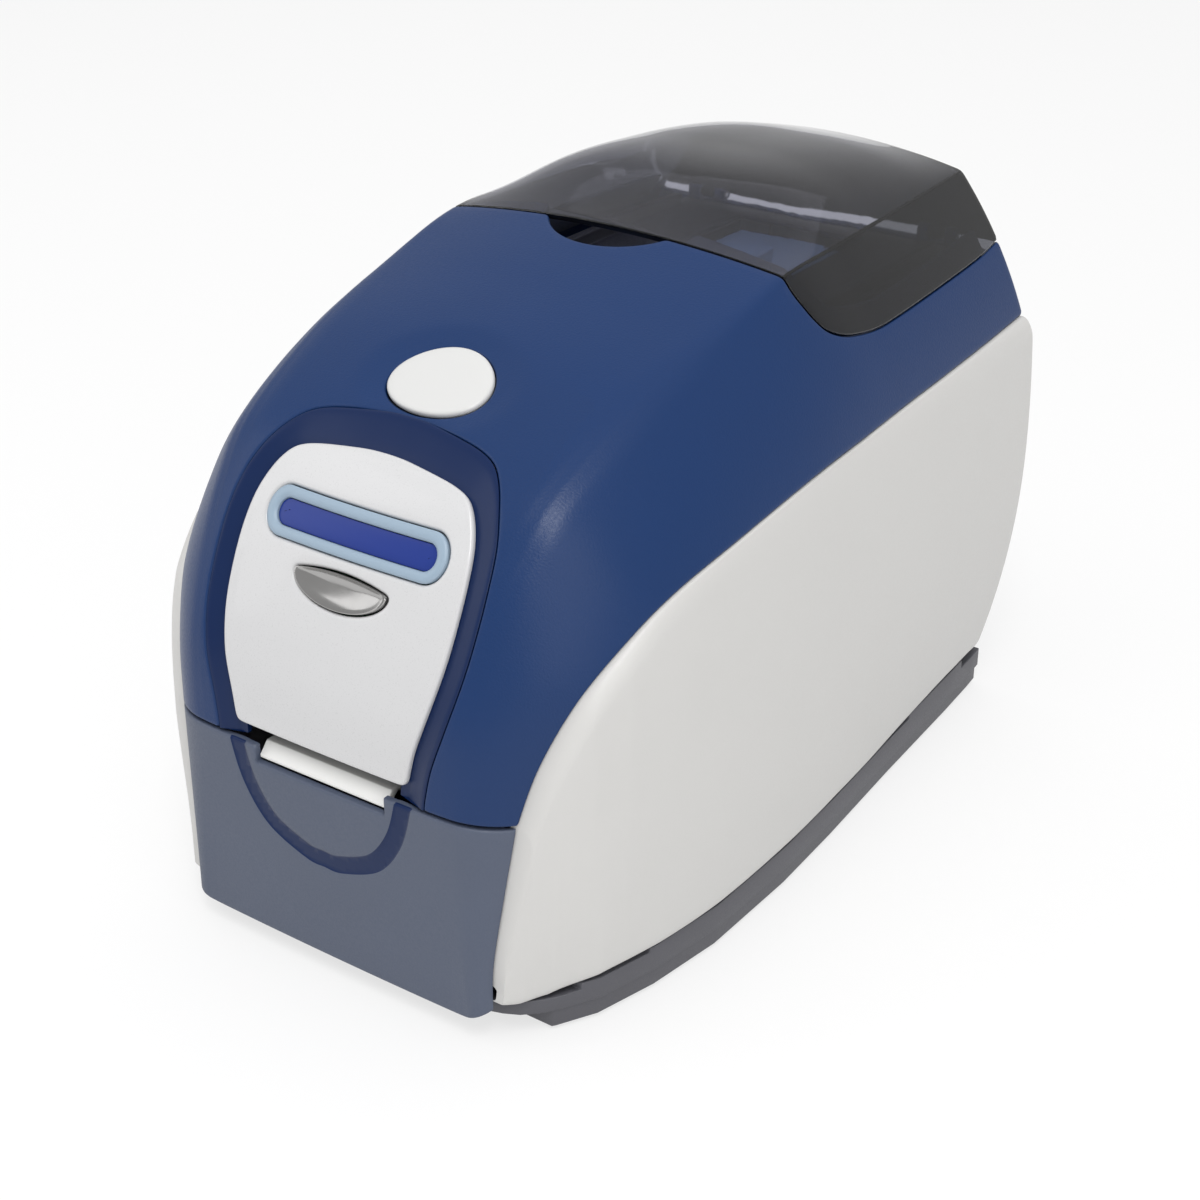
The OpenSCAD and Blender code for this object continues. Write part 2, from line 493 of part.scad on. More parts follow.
module hood() {
    color(blue) difference() {
        union() {
            skin_sheet(hood_stations, hood_us, hood_vs, 0, wall);
            from_front(rear_y - wall, rear_y - 0.05)
                polygon(concat(back_half, [for (i = [len(back_half) - 1:-1:0]) [-back_half[i][0], back_half[i][1]]]));
        }
        lid_zone(gap, rear_y + 30);
        from_front(front_y - 10, front_y + 80) plate_shape(surround_w, seam_z - 10);
        at_release() translate([0, 0, -8]) linear_extrude(20) egg(gap + 0.1);
        translate([0, notch_y, crease_z - 6]) cylinder(r = notch_r, h = 20);
        rod(lid_clear_r, -body_w, body_w, lid_axis_y, lid_axis_z);
        // Slots for the hinge posts and arms, with their pins
        for (s = [-1, 1]) translate([s > 0 ? post_x - 1.5 : -arm_x - arm_t - 1.1, rear_y - 8, hood_back_low_z - 1])
            cube([arm_x + arm_t + 1.1 - post_x + 1.5, 10, 14]);
        // Lower rear corners, cut back to clear the side panels as the hood swings up
        for (s = [-1, 1]) from_side(s > 0 ? corner_x : -body_w, s > 0 ? body_w : -corner_x)
            polygon([[hood_axis_y, hood_axis_z - 3.3], [rear_y + 1, hood_axis_z - 0.2],
                [rear_y + 1, hood_back_low_z - 1], [hood_axis_y, hood_back_low_z - 1]]);
    }
}
lid_clear_r = 3.9;
// Knuckles on the hood that hold the lid's hinge pins
module hood_knuckles() {
    color(blue) for (s = [-1, 1]) for (x = eye_xs) {
        a = s > 0 ? x : -x - eye_w;
        difference() {
            union() {
                rod(eye_r, a, a + eye_w, lid_axis_y, lid_axis_z);
                translate([a, lid_axis_y - eye_r, lid_axis_z - 12]) cube([eye_w, rear_y - wall - lid_axis_y + eye_r, 12]);
            }
            rod(lid_pin_r, a - 1, a + eye_w + 1, lid_axis_y, lid_axis_z);
        }
    }
}
// Ledge under the lid's edges
module lid_ledge() {
    color(slate) difference() {
        intersection() {
            skin_sheet(hood_stations, [for (i = [0:12]) 6.5 + 4.25 * i / 12], [for (v = hood_vs) v * 0.9], wall + seat_gap, wall + 2.2);
            lid_zone(6, rear_y - 12);
        }
        lid_zone(-6, rear_y + 30);
        translate([0, notch_y, crease_z - 12]) cylinder(r = notch_r + well_wall + seat_gap, h = 40);
    }
}
// Dished well in front of the lid for a fingertip
well_wall = 1.6;
module finger_well() {
    well_top = under_top(0, notch_y - notch_r - well_wall - 0.2) - seat_gap;
    color(blue) difference() {
        translate([0, notch_y, crease_z - 7]) cylinder(r = notch_r + well_wall, h = well_top - crease_z + 7);
        translate([0, notch_y, crease_z - 5]) cylinder(r = notch_r, h = 10);
        translate([-60, 4, crease_z - 10]) cube([120, 80, 30]);
    }
}
function ring_grid(ds, depths) = [for (k = [0:len(ds) - 1]) [for (p = horseshoe(ds[k])) on_front(p[0], p[1], depths[k])]];
ring_ds = [-3, 1.8, 3.4, 5.6, surround_w - 0.2];
ring_depths = [0.9 + plate_wall, 0.9 + plate_wall, 1.7, 0.8, 0.15];
module plate_surround() {
    color(smooth_blue) sheet(ring_grid(ring_ds, ring_depths), ring_grid(ring_ds, [for (d = ring_depths) d + 1.8]));
}
front_us = [for (i = [0:14]) 0.02 + 4.2 * i / 14];
front_vs = [for (i = [-6:6]) 0.94 * i / 6];
module front_layer(near, far) skin_sheet(hood_stations, front_us, front_vs, near, far);
module face_plate() {
    color(silver) difference() {
        intersection() {
            front_layer(0.4, 0.4 + plate_wall);
            from_front(front_y - 10, front_y + 70) intersection() {
                plate_shape(0, plate_low_z - 5);
                translate([-60, plate_low_z]) square([120, 100]);
            }
        }
        from_front(front_y - 10, front_y + 70) translate([0, window_z]) stadium(window_l, window_h);
        from_front(front_y - 10, front_y + 70) crescent(gap);
    }
}
window_us = [for (i = [0:6]) 1.2 + 2.6 * i / 6];
window_vs = [for (i = [-5:5]) 0.8 * i / 5];
module window_bezel() {
    color(card_blue) difference() {
        intersection() {
            skin_sheet(hood_stations, window_us, window_vs, 0.1, 3);
            from_front(front_y - 10, front_y + 70) translate([0, window_z])
                stadium(window_l - 2 * seat_gap, window_h - 2 * seat_gap);
        }
        from_front(front_y - 10, front_y + 70) translate([0, window_z]) stadium(lens_l, lens_h);
    }
}
module window_lens() {
    color([0.16, 0.24, 0.62]) intersection() {
        skin_sheet(hood_stations, window_us, window_vs, 0.7, 2.4);
        from_front(front_y - 10, front_y + 70) translate([0, window_z]) stadium(lens_l - seat_gap, lens_h - seat_gap);
    }
}
module control_button() {
    color(steel) intersection() {
        skin_sheet(hood_stations, [for (i = [0:4]) 1.3 + 1.4 * i / 4], [for (i = [-3:3]) 0.5 * i / 3], 0.5, 5);
        from_front(front_y - 10, front_y + 70) crescent(0);
    }
}
board_u = u_where(hood_stations, 2, window_z - 12, 0, 0, 5);
board_p = skin_at(hood_stations, board_u, 0, 9);
board_n = skin_normal(hood_stations, board_u, 0);
module display_board() {
    color([0.1, 0.35, 0.2]) translate(board_p) rotate([90 - atan2(board_n[2], -board_n[1]), 0, 0]) {
        translate([-38, -16, -1.6]) cube([76, 34, 1.6]);
        for (s = [-1, 1]) for (t = [[-11, 5.2], [13, 4.2]]) translate([s * 34, t[0], 0]) cylinder(r = 2, h = t[1]);
        translate([-30, 4, 0]) cube([60, 9, 3]);
        translate([-6, -10, 0]) cube([12, 6, 2.2]);
    }
}

// ---------- release button and latch ----------
stem_r = 5;
cup_r = 24;
module release_button() {
    color(silver) at_release() {
        intersection() {
            translate([0, 0, -3.4]) linear_extrude(5.6) egg(0);
            translate([0, 0, -148.6]) sphere(r = 150, $fn = 96);
        }
        translate([0, 0, -21]) cylinder(r = stem_r, h = 18);
    }
}
module release_guide() {
    color(slate) at_release() difference() {
        union() {
            translate([0, 0, -cup_floor]) cylinder(r = cup_r, h = cup_floor - wall - 2.3);
            translate([0, 0, -18]) cylinder(r = stem_r + 3, h = 9);
        }
        translate([0, 0, -8]) cylinder(r = cup_r - 2, h = 10);
        translate([0, 0, -19]) cylinder(r = stem_r + run_fit, h = 20);
    }
}
latch_pin_r = 2;
cup_floor = 10;
// Height just under the cup of the release guide, where the latch bracket is fixed
function under_cup(y) =
    release_z + (sin(release_tilt) * (y - release_y) - cup_floor - seat_gap) / cos(release_tilt);
module latch_lever() {
    color(steel) difference() {
        from_side(-4, 4) union() {
            translate([latch_axis_y, latch_axis_z]) circle(r = 5.5);
            polygon([[latch_axis_y, latch_axis_z - 4], [latch_axis_y + 26, latch_axis_z - 1],
                [latch_axis_y + 26, latch_axis_z + 3], [latch_axis_y, latch_axis_z + 5]]);
            polygon([[latch_axis_y - 5, latch_axis_z], [latch_axis_y + 4, latch_axis_z],
                [catch_y - 8.4, catch_z + 8], [catch_y - 8.4, catch_z - 4.4], [catch_y - catch_r - 0.4, catch_z - 4.4],
                [catch_y - catch_r - 1.6, catch_z - 8], [catch_y - 13, catch_z - 8], [catch_y - 13, catch_z + 8]]);
        }
        rod(latch_pin_r + run_fit, -10, 10, latch_axis_y, latch_axis_z);
    }
}
module latch_bracket() {
    color(steel) {
        rod(latch_pin_r, -8, 8, latch_axis_y, latch_axis_z);
        for (s = [-1, 1]) from_side(s > 0 ? 5 : -7, s > 0 ? 7 : -5) polygon([[latch_axis_y - 5, latch_axis_z - 5],
            [latch_axis_y + 5, latch_axis_z - 5], [latch_axis_y + 5, under_cup(latch_axis_y + 5)],
            [latch_axis_y - 5, under_cup(latch_axis_y - 5)]]);
    }
}
module catch_bar() {
    color(steel) rod(catch_r, -frame_in - frame_t, frame_in + frame_t, catch_y, catch_z);
}

// ---------- lid ----------
lid_us = [for (i = [0:12]) 6.6 + (rear_u - 6.6) * i / 12];
lid_vs = [for (v = hood_vs) v * 0.84];
function lid_back(v) = let (p = skin_at(hood_stations, rear_u, v, 0.3)) [p[0], p[2]];
lid_eye_x = 50;
lid_eye_w = 6;
module lid() {
    color([0.2, 0.2, 0.23, 0.55]) difference() {
        union() {
            intersection() {
                skin_sheet(hood_stations, lid_us, lid_vs, 0, lid_wall);
                lid_zone(0, rear_y + 20);
            }
            intersection() {
                from_front(rear_y - lid_wall, rear_y - 0.05) polygon([for (v = lid_vs) lid_back(v)]);
                translate([-90, rear_y - 10, lid_axis_z + 0.6]) cube([180, 20, 60]);
            }
            for (s = [-1, 1]) rod(eye_r, s > 0 ? lid_eye_x : -lid_eye_x - lid_eye_w, s > 0 ? lid_eye_x + lid_eye_w : -lid_eye_x,
                lid_axis_y, lid_axis_z);
            // Ribs inside the rear wall
            for (x = [-44, 33]) translate([x, rear_y - lid_wall - 3.5, lid_axis_z + 7]) cube([9, 4, 18]);
        }
        for (s = [-1, 1]) {
            for (x = eye_xs) rod(eye_r + gap, s > 0 ? x - 0.3 : -x - eye_w - 0.3, s > 0 ? x + eye_w + 0.3 : -x + 0.3,
                lid_axis_y, lid_axis_z);
            rod(lid_pin_r + run_fit, s > 0 ? 40 : -66, s > 0 ? 66 : -40, lid_axis_y, lid_axis_z);
        }
    }
}
module lid_hinge_pins() {
    color(steel) for (s = [-1, 1]) rod(lid_pin_r, s > 0 ? eye_xs[0] : -eye_xs[1] - eye_w,
        s > 0 ? eye_xs[1] + eye_w : -eye_xs[0], lid_axis_y, lid_axis_z);
}

// ---------- hood hinge ----------
post_x = 70.5;
post_t = 4;
arm_x = 75;
arm_t = 4;
hinge_eye_r = 3.4;
module hinge_posts() {
    color(steel) for (s = [-1, 1]) difference() {
        from_side(s > 0 ? post_x : -post_x - post_t, s > 0 ? post_x + post_t : -post_x) union() {
            polygon([[rear_y - 26, base_plate_z], [rear_y - 9, base_plate_z], [rear_y - 9, base_plate_z + 3],
                [rear_y - 12, 40], [rear_y - 12, hood_axis_z - 24], [hood_axis_y + 1.5, hood_axis_z - 12],
                [hood_axis_y + hinge_eye_r, hood_axis_z], [hood_axis_y - hinge_eye_r, hood_axis_z],
                [rear_y - 19, hood_axis_z - 22], [rear_y - 19, 30]]);
            translate([hood_axis_y, hood_axis_z]) circle(r = hinge_eye_r);
        }
        rod(hood_pin_r, -body_w, body_w, hood_axis_y, hood_axis_z);
    }
}
module hood_hinge_pins() {
    color(steel) for (s = [-1, 1]) rod(hood_pin_r, s > 0 ? post_x - 1 : -arm_x - arm_t - 0.6,
        s > 0 ? arm_x + arm_t + 0.6 : -post_x + 1, hood_axis_y, hood_axis_z);
}
module hood_hinge_arms() {
    color(slate) for (s = [-1, 1]) difference() {
        from_side(s > 0 ? arm_x : -arm_x - arm_t, s > 0 ? arm_x + arm_t : -arm_x) union() {
            translate([hood_axis_y, hood_axis_z]) circle(r = hinge_eye_r);
            polygon([[hood_axis_y - hinge_eye_r, hood_axis_z], [rear_y - wall, hood_axis_z],
                [rear_y - wall, lid_axis_z - 12], [rear_y - wall - 8, lid_axis_z - 14]]);
        }
        rod(hood_pin_r + run_fit, -body_w, body_w, hood_axis_y, hood_axis_z);
    }
}

// ---------- frame ----------
bush_r = 5;
bush_t = 3;
clean_r = 6;
clean_z = card_z + card_t / 2 + 0.4 + clean_r + 2;
pinch_r = 5;
pinch_z = card_z + card_t / 2 + 0.4 + pinch_r + 1.6;
shaft_places = [[pick_y, roller_z], [feed_y, roller_z], [platen_y, roller_z], [exit_y, roller_z],
    [supply_y, spool_z], [takeup_y, spool_z], [feed_y, clean_z], [exit_y, pinch_z]];
frame_outline = [[exit_y - 16, base_plate_z], [140, base_plate_z], [140, 40], [144, 60], [144, 104], [52, 104],
    [46, 108], [supply_y + 12, 122], [supply_y - 9, 122], [supply_y - 18, 92], [platen_y + 8, 92],
    [platen_y - 10, 92], [takeup_y + 16, 100], [takeup_y + 8, 122], [catch_y - 4, 122], [exit_y - 9, 118],
    [exit_y - 16, 96]];
module frame_plate(s) {
    a = s > 0 ? frame_in : -frame_in - frame_t;
    color(steel) difference() {
        from_side(a, a + frame_t) polygon(frame_outline);
        for (p = shaft_places) rod(bush_r, a - 1, a + frame_t + 1, p[0], p[1]);
        rod(catch_r, a - 1, a + frame_t + 1, catch_y, catch_z);
        if (s < 0) {
            for (y = [pick_idler_y, feed_idler_y, exit_idler_y]) rod(stud_r, a - 1, a + frame_t + 1, y, roller_z);
            rod(9, a - 1, a + frame_t + 1, feed_idler_y, motor_z);
        }
        for (y = [-100, -50, 52, 100]) rod(13, a - 1, a + frame_t + 1, y, 38);
    }
}
module frame_plate_left() frame_plate(-1);
module frame_plate_right() frame_plate(1);
module roller_bushings() {
    color([0.75, 0.6, 0.3]) for (s = [-1, 1]) for (p = shaft_places) {
        a = s > 0 ? frame_in - (bush_t - frame_t) / 2 : -frame_in - frame_t - (bush_t - frame_t) / 2;
        difference() {
            rod(bush_r, a, a + bush_t, p[0], p[1]);
            rod(shaft_r + run_fit, a - 1, a + bush_t + 1, p[0], p[1]);
        }
    }
}
module frame_crossbars() {
    color(steel) {
        for (y = [-60, 60]) translate([-frame_in, y - 5, 20]) cube([2 * frame_in, 10, 3]);
        translate([-frame_in, platen_y - 9, card_z - 20]) cube([2 * frame_in, 18, 2]);
        for (s = [-1, 1]) for (y = [-95, -20, 25, 110])
            translate([s > 0 ? frame_in + frame_t : -frame_in - frame_t - 10, y - 7, base_plate_z]) cube([10, 14, 1.5]);
    }
}
module card_guides() {
    color(steel) for (s = [-1, 1]) {
        a = s > 0 ? card_w / 2 + 0.6 : -card_w / 2 - 3.6;
        translate([a, exit_y + roller_r + 3, card_z - 2.4]) cube([3, feed_y - exit_y - 2 * roller_r - 6, 4.4]);
        for (y = [exit_idler_y, supply_y - 8])
            translate([s > 0 ? a + 3 : -frame_in, y - 4, card_z - 2.4]) cube([frame_in - card_w / 2 - 3.6, 8, 2.4]);
    }
}

// ---------- card hopper ----------
module hopper() {
    color(black) difference() {
        union() {
            translate([-hopper_in_w / 2 - hopper_wall, hopper_front_y, card_z - 3])
                cube([hopper_in_w + 2 * hopper_wall, hopper_rear_y - hopper_front_y, hopper_top - card_z + 3]);
            for (s = [-1, 1]) for (y = [hopper_front_y + 8, hopper_rear_y - 18])
                translate([s > 0 ? hopper_in_w / 2 + hopper_wall - 0.5 : -frame_in, y, 92])
                    cube([frame_in - hopper_in_w / 2 - hopper_wall + 0.5, 10, 8]);
        }
        translate([-hopper_in_w / 2, hopper_front_y + hopper_wall, card_z - card_t / 2 - 0.2])
            cube([hopper_in_w, hopper_rear_y - hopper_front_y - 2 * hopper_wall, 200]);
        translate([-hopper_in_w / 2, hopper_front_y - 1, card_z - card_t / 2 - 0.2]) cube([hopper_in_w, hopper_wall + 2, 5]);
        translate([-27, pick_y - 9, card_z - 10]) cube([54, 18, 14]);
        translate([-14, hopper_rear_y - hopper_wall - 1, 130]) cube([28, hopper_wall + 2, 70]);
    }
}
deck_half = half_w - 39.5;
deck_front = hopper_front_y - 34.6;
module feeder_deck() {
    color(black) difference() {
        union() {
            translate([-deck_half, deck_front, hopper_top]) cube([2 * deck_half, rear_y - 6.6 - deck_front, 2.5]);
            for (s = [-1, 1]) translate([s > 0 ? deck_half - 6 : 2 - deck_half, deck_front + 16, hopper_top + 2.5])
                cube([4, rear_y - 34.6 - deck_front, 5]);
        }
        translate([-hopper_in_w / 2, hopper_front_y + hopper_wall, hopper_top - 1])
            cube([hopper_in_w, hopper_rear_y - hopper_front_y - 2 * hopper_wall, 9]);
        translate([-22, deck_front + 6, hopper_top - 1]) cube([44, 18, 9]);
    }
}
weight_t = 14;
weight_z = 168;
module card_weight() {
    color(card_blue) {
        translate([-card_w / 2, hopper_mid_y - card_l / 2, weight_z]) cube([card_w, card_l, weight_t]);
        translate([-10, hopper_mid_y - 8, weight_z + weight_t]) cube([20, 16, 8]);
    }
}
module gate_slide() {
    color(steel) {
        translate([-0.37 * card_w, hopper_front_y - 2, card_z + 1.2]) cube([0.74 * card_w, 1.6, 18]);
        translate([-4, hopper_front_y - 6, card_z + 15]) cube([8, 4.1, 4]);
    }
}

// ---------- rollers and gears ----------
// Spur gear with straight-flanked teeth, one tooth turned to the given angle, drawn along X
module gear(teeth, y, z, turn, x = gear_x - gear_w, w = gear_w, bore = 0) {
    r = teeth * gear_m / 2;
    pitch = 360 / teeth;
    ra = r + gear_m * 0.95;
    rd = r - gear_m * 1.2;
    half = pitch / 4 - gear_play / 2 / r * 180 / PI;
    translate([x, y, z]) rotate([90, 0, 90]) linear_extrude(w) difference() {
        polygon([for (i = [0:teeth - 1]) for (p = [[rd, -1.62], [ra, -0.42], [ra, 0.42], [rd, 1.62]])
            let (a = turn + i * pitch + p[1] * half) [p[0] * cos(a), p[0] * sin(a)]]);
        if (bore > 0) circle(r = bore);
    }
}
// Turn of a gear that meshes with one whose tooth stands at turn_a, seen along the line at angle
function mesh_turn(turn_a, teeth_a, teeth_b, angle) =
    let (f = (angle - turn_a) * teeth_a / 360, frac = f - floor(f)) angle + 180 + (frac - 0.5) * 360 / teeth_b;
platen_turn = 0;
feed_idler_turn = mesh_turn(platen_turn, roller_teeth, feed_idler_teeth, 0);
feed_turn = mesh_turn(feed_idler_turn, feed_idler_teeth, roller_teeth, 0);
pick_idler_turn = mesh_turn(feed_turn, roller_teeth, pick_idler_teeth, 0);
pick_turn = mesh_turn(pick_idler_turn, pick_idler_teeth, roller_teeth, 0);
exit_idler_turn = mesh_turn(platen_turn, roller_teeth, exit_idler_teeth, 180);
exit_turn = mesh_turn(exit_idler_turn, exit_idler_teeth, roller_teeth, 180);
pinion_turn = mesh_turn(feed_idler_turn, feed_idler_teeth, pinion_teeth, -90);

module driven_roller(y, r, turn) {
    rod(r, -26, 26, y, roller_z);
    rod(shaft_r, gear_x - gear_w, frame_in + frame_t + 2, y, roller_z);
    for (s = [-1, 1]) rod(shaft_r + 1.4, s > 0 ? frame_in - 2.6 : -frame_in + 1.2, s > 0 ? frame_in - 1.2 : -frame_in + 2.6, y, roller_z);
    gear(roller_teeth, y, roller_z, turn);
}
module pick_roller() color(black) driven_roller(pick_y, roller_r, pick_turn);
module feed_roller() color(black) driven_roller(feed_y, roller_r, feed_turn);
module platen_roller() color(black) driven_roller(platen_y, roller_r, platen_turn);
module exit_roller() color(black) driven_roller(exit_y, roller_r, exit_turn);
module free_roller(y, z, r) {
    rod(r, -26, 26, y, z);
    rod(shaft_r, -frame_in - frame_t - 1.4, frame_in + frame_t + 1.4, y, z);
}
module cleaning_roller() color(light_grey) free_roller(feed_y, clean_z, clean_r);
module exit_pinch_roller() color(black) free_roller(exit_y, pinch_z, pinch_r);
stud_r = 2.5;
module idler_gear(teeth, y, turn) {
    color(silver) difference() {
        union() {
            gear(teeth, y, roller_z, turn);
            rod(5, gear_x, gear_x + 0.8, y, roller_z);
        }
        rod(stud_r + run_fit, gear_x - gear_w - 1, gear_x + 2, y, roller_z);
    }
}
module pick_idler_gear() idler_gear(pick_idler_teeth, pick_idler_y, pick_idler_turn);
module feed_idler_gear() idler_gear(feed_idler_teeth, feed_idler_y, feed_idler_turn);
module exit_idler_gear() idler_gear(exit_idler_teeth, exit_idler_y, exit_idler_turn);
module idler_studs() {
    color(steel) for (y = [pick_idler_y, feed_idler_y, exit_idler_y]) {
        rod(stud_r, gear_x - gear_w - 0.3, -frame_in + 0.5, y, roller_z);
        rod(stud_r + 1.5, gear_x - gear_w - 1.5, gear_x - gear_w - 0.3, y, roller_z);
    }
}
motor_shaft_r = 1.5;
module drive_motor() {
    color(dark_grey) difference() {
        union() {
            rod(17, -frame_in + 1.5, -frame_in + 30, feed_idler_y, motor_z);
            rod(8.9, -frame_in - 1, -frame_in + 2, feed_idler_y, motor_z);
            for (s = [-1, 1]) translate([-frame_in, feed_idler_y + s * 17 - 6, motor_z - 5]) cube([2, 12, 10]);
        }
        rod(motor_shaft_r + run_fit, -frame_in - 3, -frame_in + 22, feed_idler_y, motor_z);
    }
}
module motor_pinion() {
    color(steel) {
        gear(pinion_teeth, feed_idler_y, motor_z, pinion_turn);
        rod(motor_shaft_r, gear_x - 1, -frame_in + 20, feed_idler_y, motor_z);
    }
}

// ---------- ribbon ----------
module spool(y, r) {
    rod(r, -28, 28, y, spool_z);
    for (s = [-1, 1]) rod(r + 1.5, s > 0 ? 28.6 : -30.2, s > 0 ? 30.2 : -28.6, y, spool_z);
    rod(shaft_r + 2, -32, 32, y, spool_z);
    rod(shaft_r, -frame_in - frame_t - 1.4, frame_in + frame_t + 1.4, y, spool_z);
}
takeup_r = 9;
module ribbon_supply_spool() color([0.75, 0.6, 0.15]) spool(supply_y, ribbon_r);
module ribbon_takeup_spool() color(black) spool(takeup_y, takeup_r);
film_z = card_z + card_t / 2 + 0.9;
film_t = 0.5;
module ribbon_film() {
    color([0.8, 0.65, 0.2]) from_side(-27, 27) polygon([
        [supply_y - 9, spool_z - ribbon_r + 2.4], [supply_y - 8.7, spool_z - ribbon_r + 1.9], [platen_y + 14, film_z],
        [platen_y - 14, film_z], [takeup_y + 8, spool_z - takeup_r + 1], [takeup_y + 7.7, spool_z - takeup_r + 1.5],
        [platen_y - 13.9, film_z + film_t], [platen_y + 13.9, film_z + film_t]]);
}

// ---------- print head, carried by the hood ----------
head_pin_r = 2;
head_z = film_z + film_t + 0.5;
head_h = 11;
head_travel = 2;
bridge_z = head_z + head_h + head_travel + 0.6;
module head_bridge() {
    color(steel) {
        difference() {
            union() {
                translate([-30, platen_y - 6, bridge_z]) cube([60, 12, 3]);
                for (s = [-1, 1]) from_side(s > 0 ? 27 : -30, s > 0 ? 30 : -27) polygon([[platen_y - 6, bridge_z],
                    [platen_y + 6, bridge_z], [platen_y + 6, under_top(30, platen_y + 6) - seat_gap],
                    [platen_y - 6, under_top(30, platen_y - 6) - seat_gap]]);
            }
        }
        for (s = [-1, 1]) translate([s * 20, platen_y, bridge_z - 9]) cylinder(r = head_pin_r, h = 9);
    }
}
module print_head() {
    color(dark_grey) difference() {
        union() {
            translate([-27, platen_y - 7, head_z + 2]) cube([54, 14, head_h - 2]);
            translate([-27, platen_y - 1.5, head_z]) cube([54, 3, 2.1]);
        }
        for (s = [-1, 1]) translate([s * 20, platen_y, head_z - 1]) cylinder(r = head_pin_r + run_fit, h = head_h + 2);
        for (i = [0:3]) translate([-14 + i * 8, platen_y - 8, head_z + 7]) cube([4, 16, 6]);
    }
}

// ---------- electronics ----------
board_x = frame_in + frame_t + 8;
module main_board() {
    color([0.1, 0.35, 0.2]) {
        translate([board_x, -60, 14]) cube([1.6, 150, 74]);
        translate([board_x + 1.6, -20, 44]) cube([3, 22, 22]);
        translate([board_x + 1.6, 30, 50]) cube([9, 16, 16]);
        translate([board_x + 1.6, 60, 20]) cube([8, 24, 10]);
        translate([board_x + 1.6, -50, 20]) cube([8, 24, 8]);
        for (y = [12, 20]) translate([board_x + 1.6, y, 74]) rotate([0, 90, 0]) cylinder(r = 3, h = 10);
    }
}
module board_standoffs() {
    color(steel) for (y = [-52, 84]) for (z = [20, 82]) rod(2.6, frame_in + frame_t, board_x, y, z);
}
// Openings of the rear panel: left edge, lower edge, width and height of each
power_x = -66;
power_z = 34;
power_w = 26;
power_h = 20;
switch_x = -24;
switch_z = 36;
switch_w = 20;
switch_h = 14;
usb_x = 16;
usb_z = 36;
usb_w = 14;
usb_h = 12;
lan_x = 40;
lan_z = 35;
lan_w = 17;
lan_h = 14;
// Frame of a socket with its hollow, its outer face a little proud of the rear panel
module socket(x, z, w, h, deep, t) {
    difference() {
        union() {
            translate([x, rear_y - deep, z]) cube([w, deep - 0.1, h]);
            translate([x - 1.5, rear_y - wall - 1.2, z - 1.5]) cube([w + 3, 1.2, h + 3]);
        }
        translate([x + t, rear_y - deep + 2, z + t]) cube([w - 2 * t, deep, h - 2 * t]);
    }
}
// Mains inlet with its three blades, and beside it the frame of the power switch
module power_socket() {
    color(black) {
        difference() {
            socket(switch_x, switch_z, switch_w, switch_h, 14, 2);
            rod(pivot_r + run_fit, switch_x + 1, switch_x + switch_w - 1, rocker_y, rocker_z);
        }
        socket(power_x, power_z, power_w, power_h, 22, 2.5);
        for (dx = [-7, 0, 7]) translate([power_x + power_w / 2 + dx - 1, rear_y - 20.2, power_z + power_h / 2 - 2])
            cube([2, 15, 4]);
    }
}
module usb_socket() {
    color(steel) {
        socket(usb_x, usb_z, usb_w, usb_h, 16, 1.2);
        translate([usb_x + 4, rear_y - 14.2, usb_z + usb_h / 2 - 1.6]) cube([usb_w - 8, 10, 3.2]);
    }
}
module network_socket() color(steel) socket(lan_x, lan_z, lan_w, lan_h, 20, 1.2);
rocker_y = rear_y - 5;
rocker_z = switch_z + switch_h / 2;
rocker_gap = 2.3;
pivot_r = 1.2;
module power_rocker() {
    color(black) {
        from_side(switch_x + rocker_gap, switch_x + switch_w - rocker_gap) polygon([
            [rocker_y - 3, rocker_z - 2], [rocker_y + 3.2, rocker_z - 3.9], [rocker_y + 2.6, rocker_z],
            [rocker_y + 4.2, rocker_z + 3.9], [rocker_y - 3, rocker_z + 2]]);
        rod(pivot_r, switch_x + 1.3, switch_x + switch_w - 1.3, rocker_y, rocker_z);
    }
}

base_tray();
rubber_feet();
base_plate();
front_fascia();
exit_chute();
side_panel_left();
side_panel_right();
rear_panel();
hood();
hood_knuckles();
lid_ledge();
finger_well();
plate_surround();
face_plate();
window_bezel();
window_lens();
display_board();
control_button();
release_button();
release_guide();
latch_lever();
latch_bracket();
catch_bar();
lid();
lid_hinge_pins();
hinge_posts();
hood_hinge_arms();
hood_hinge_pins();
frame_plate_left();
frame_plate_right();
roller_bushings();
frame_crossbars();
card_guides();
hopper();
feeder_deck();
card_weight();
gate_slide();
pick_roller();
feed_roller();
cleaning_roller();
platen_roller();
exit_roller();
exit_pinch_roller();
pick_idler_gear();
feed_idler_gear();
exit_idler_gear();
idler_studs();
drive_motor();
motor_pinion();
ribbon_supply_spool();
ribbon_takeup_spool();
ribbon_film();
head_bridge();
print_head();
main_board();
board_standoffs();
power_socket();
usb_socket();
network_socket();
power_rocker();
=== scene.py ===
import json
import math

import bmesh
import bpy
import numpy as np
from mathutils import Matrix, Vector
from mathutils.geometry import delaunay_2d_cdt


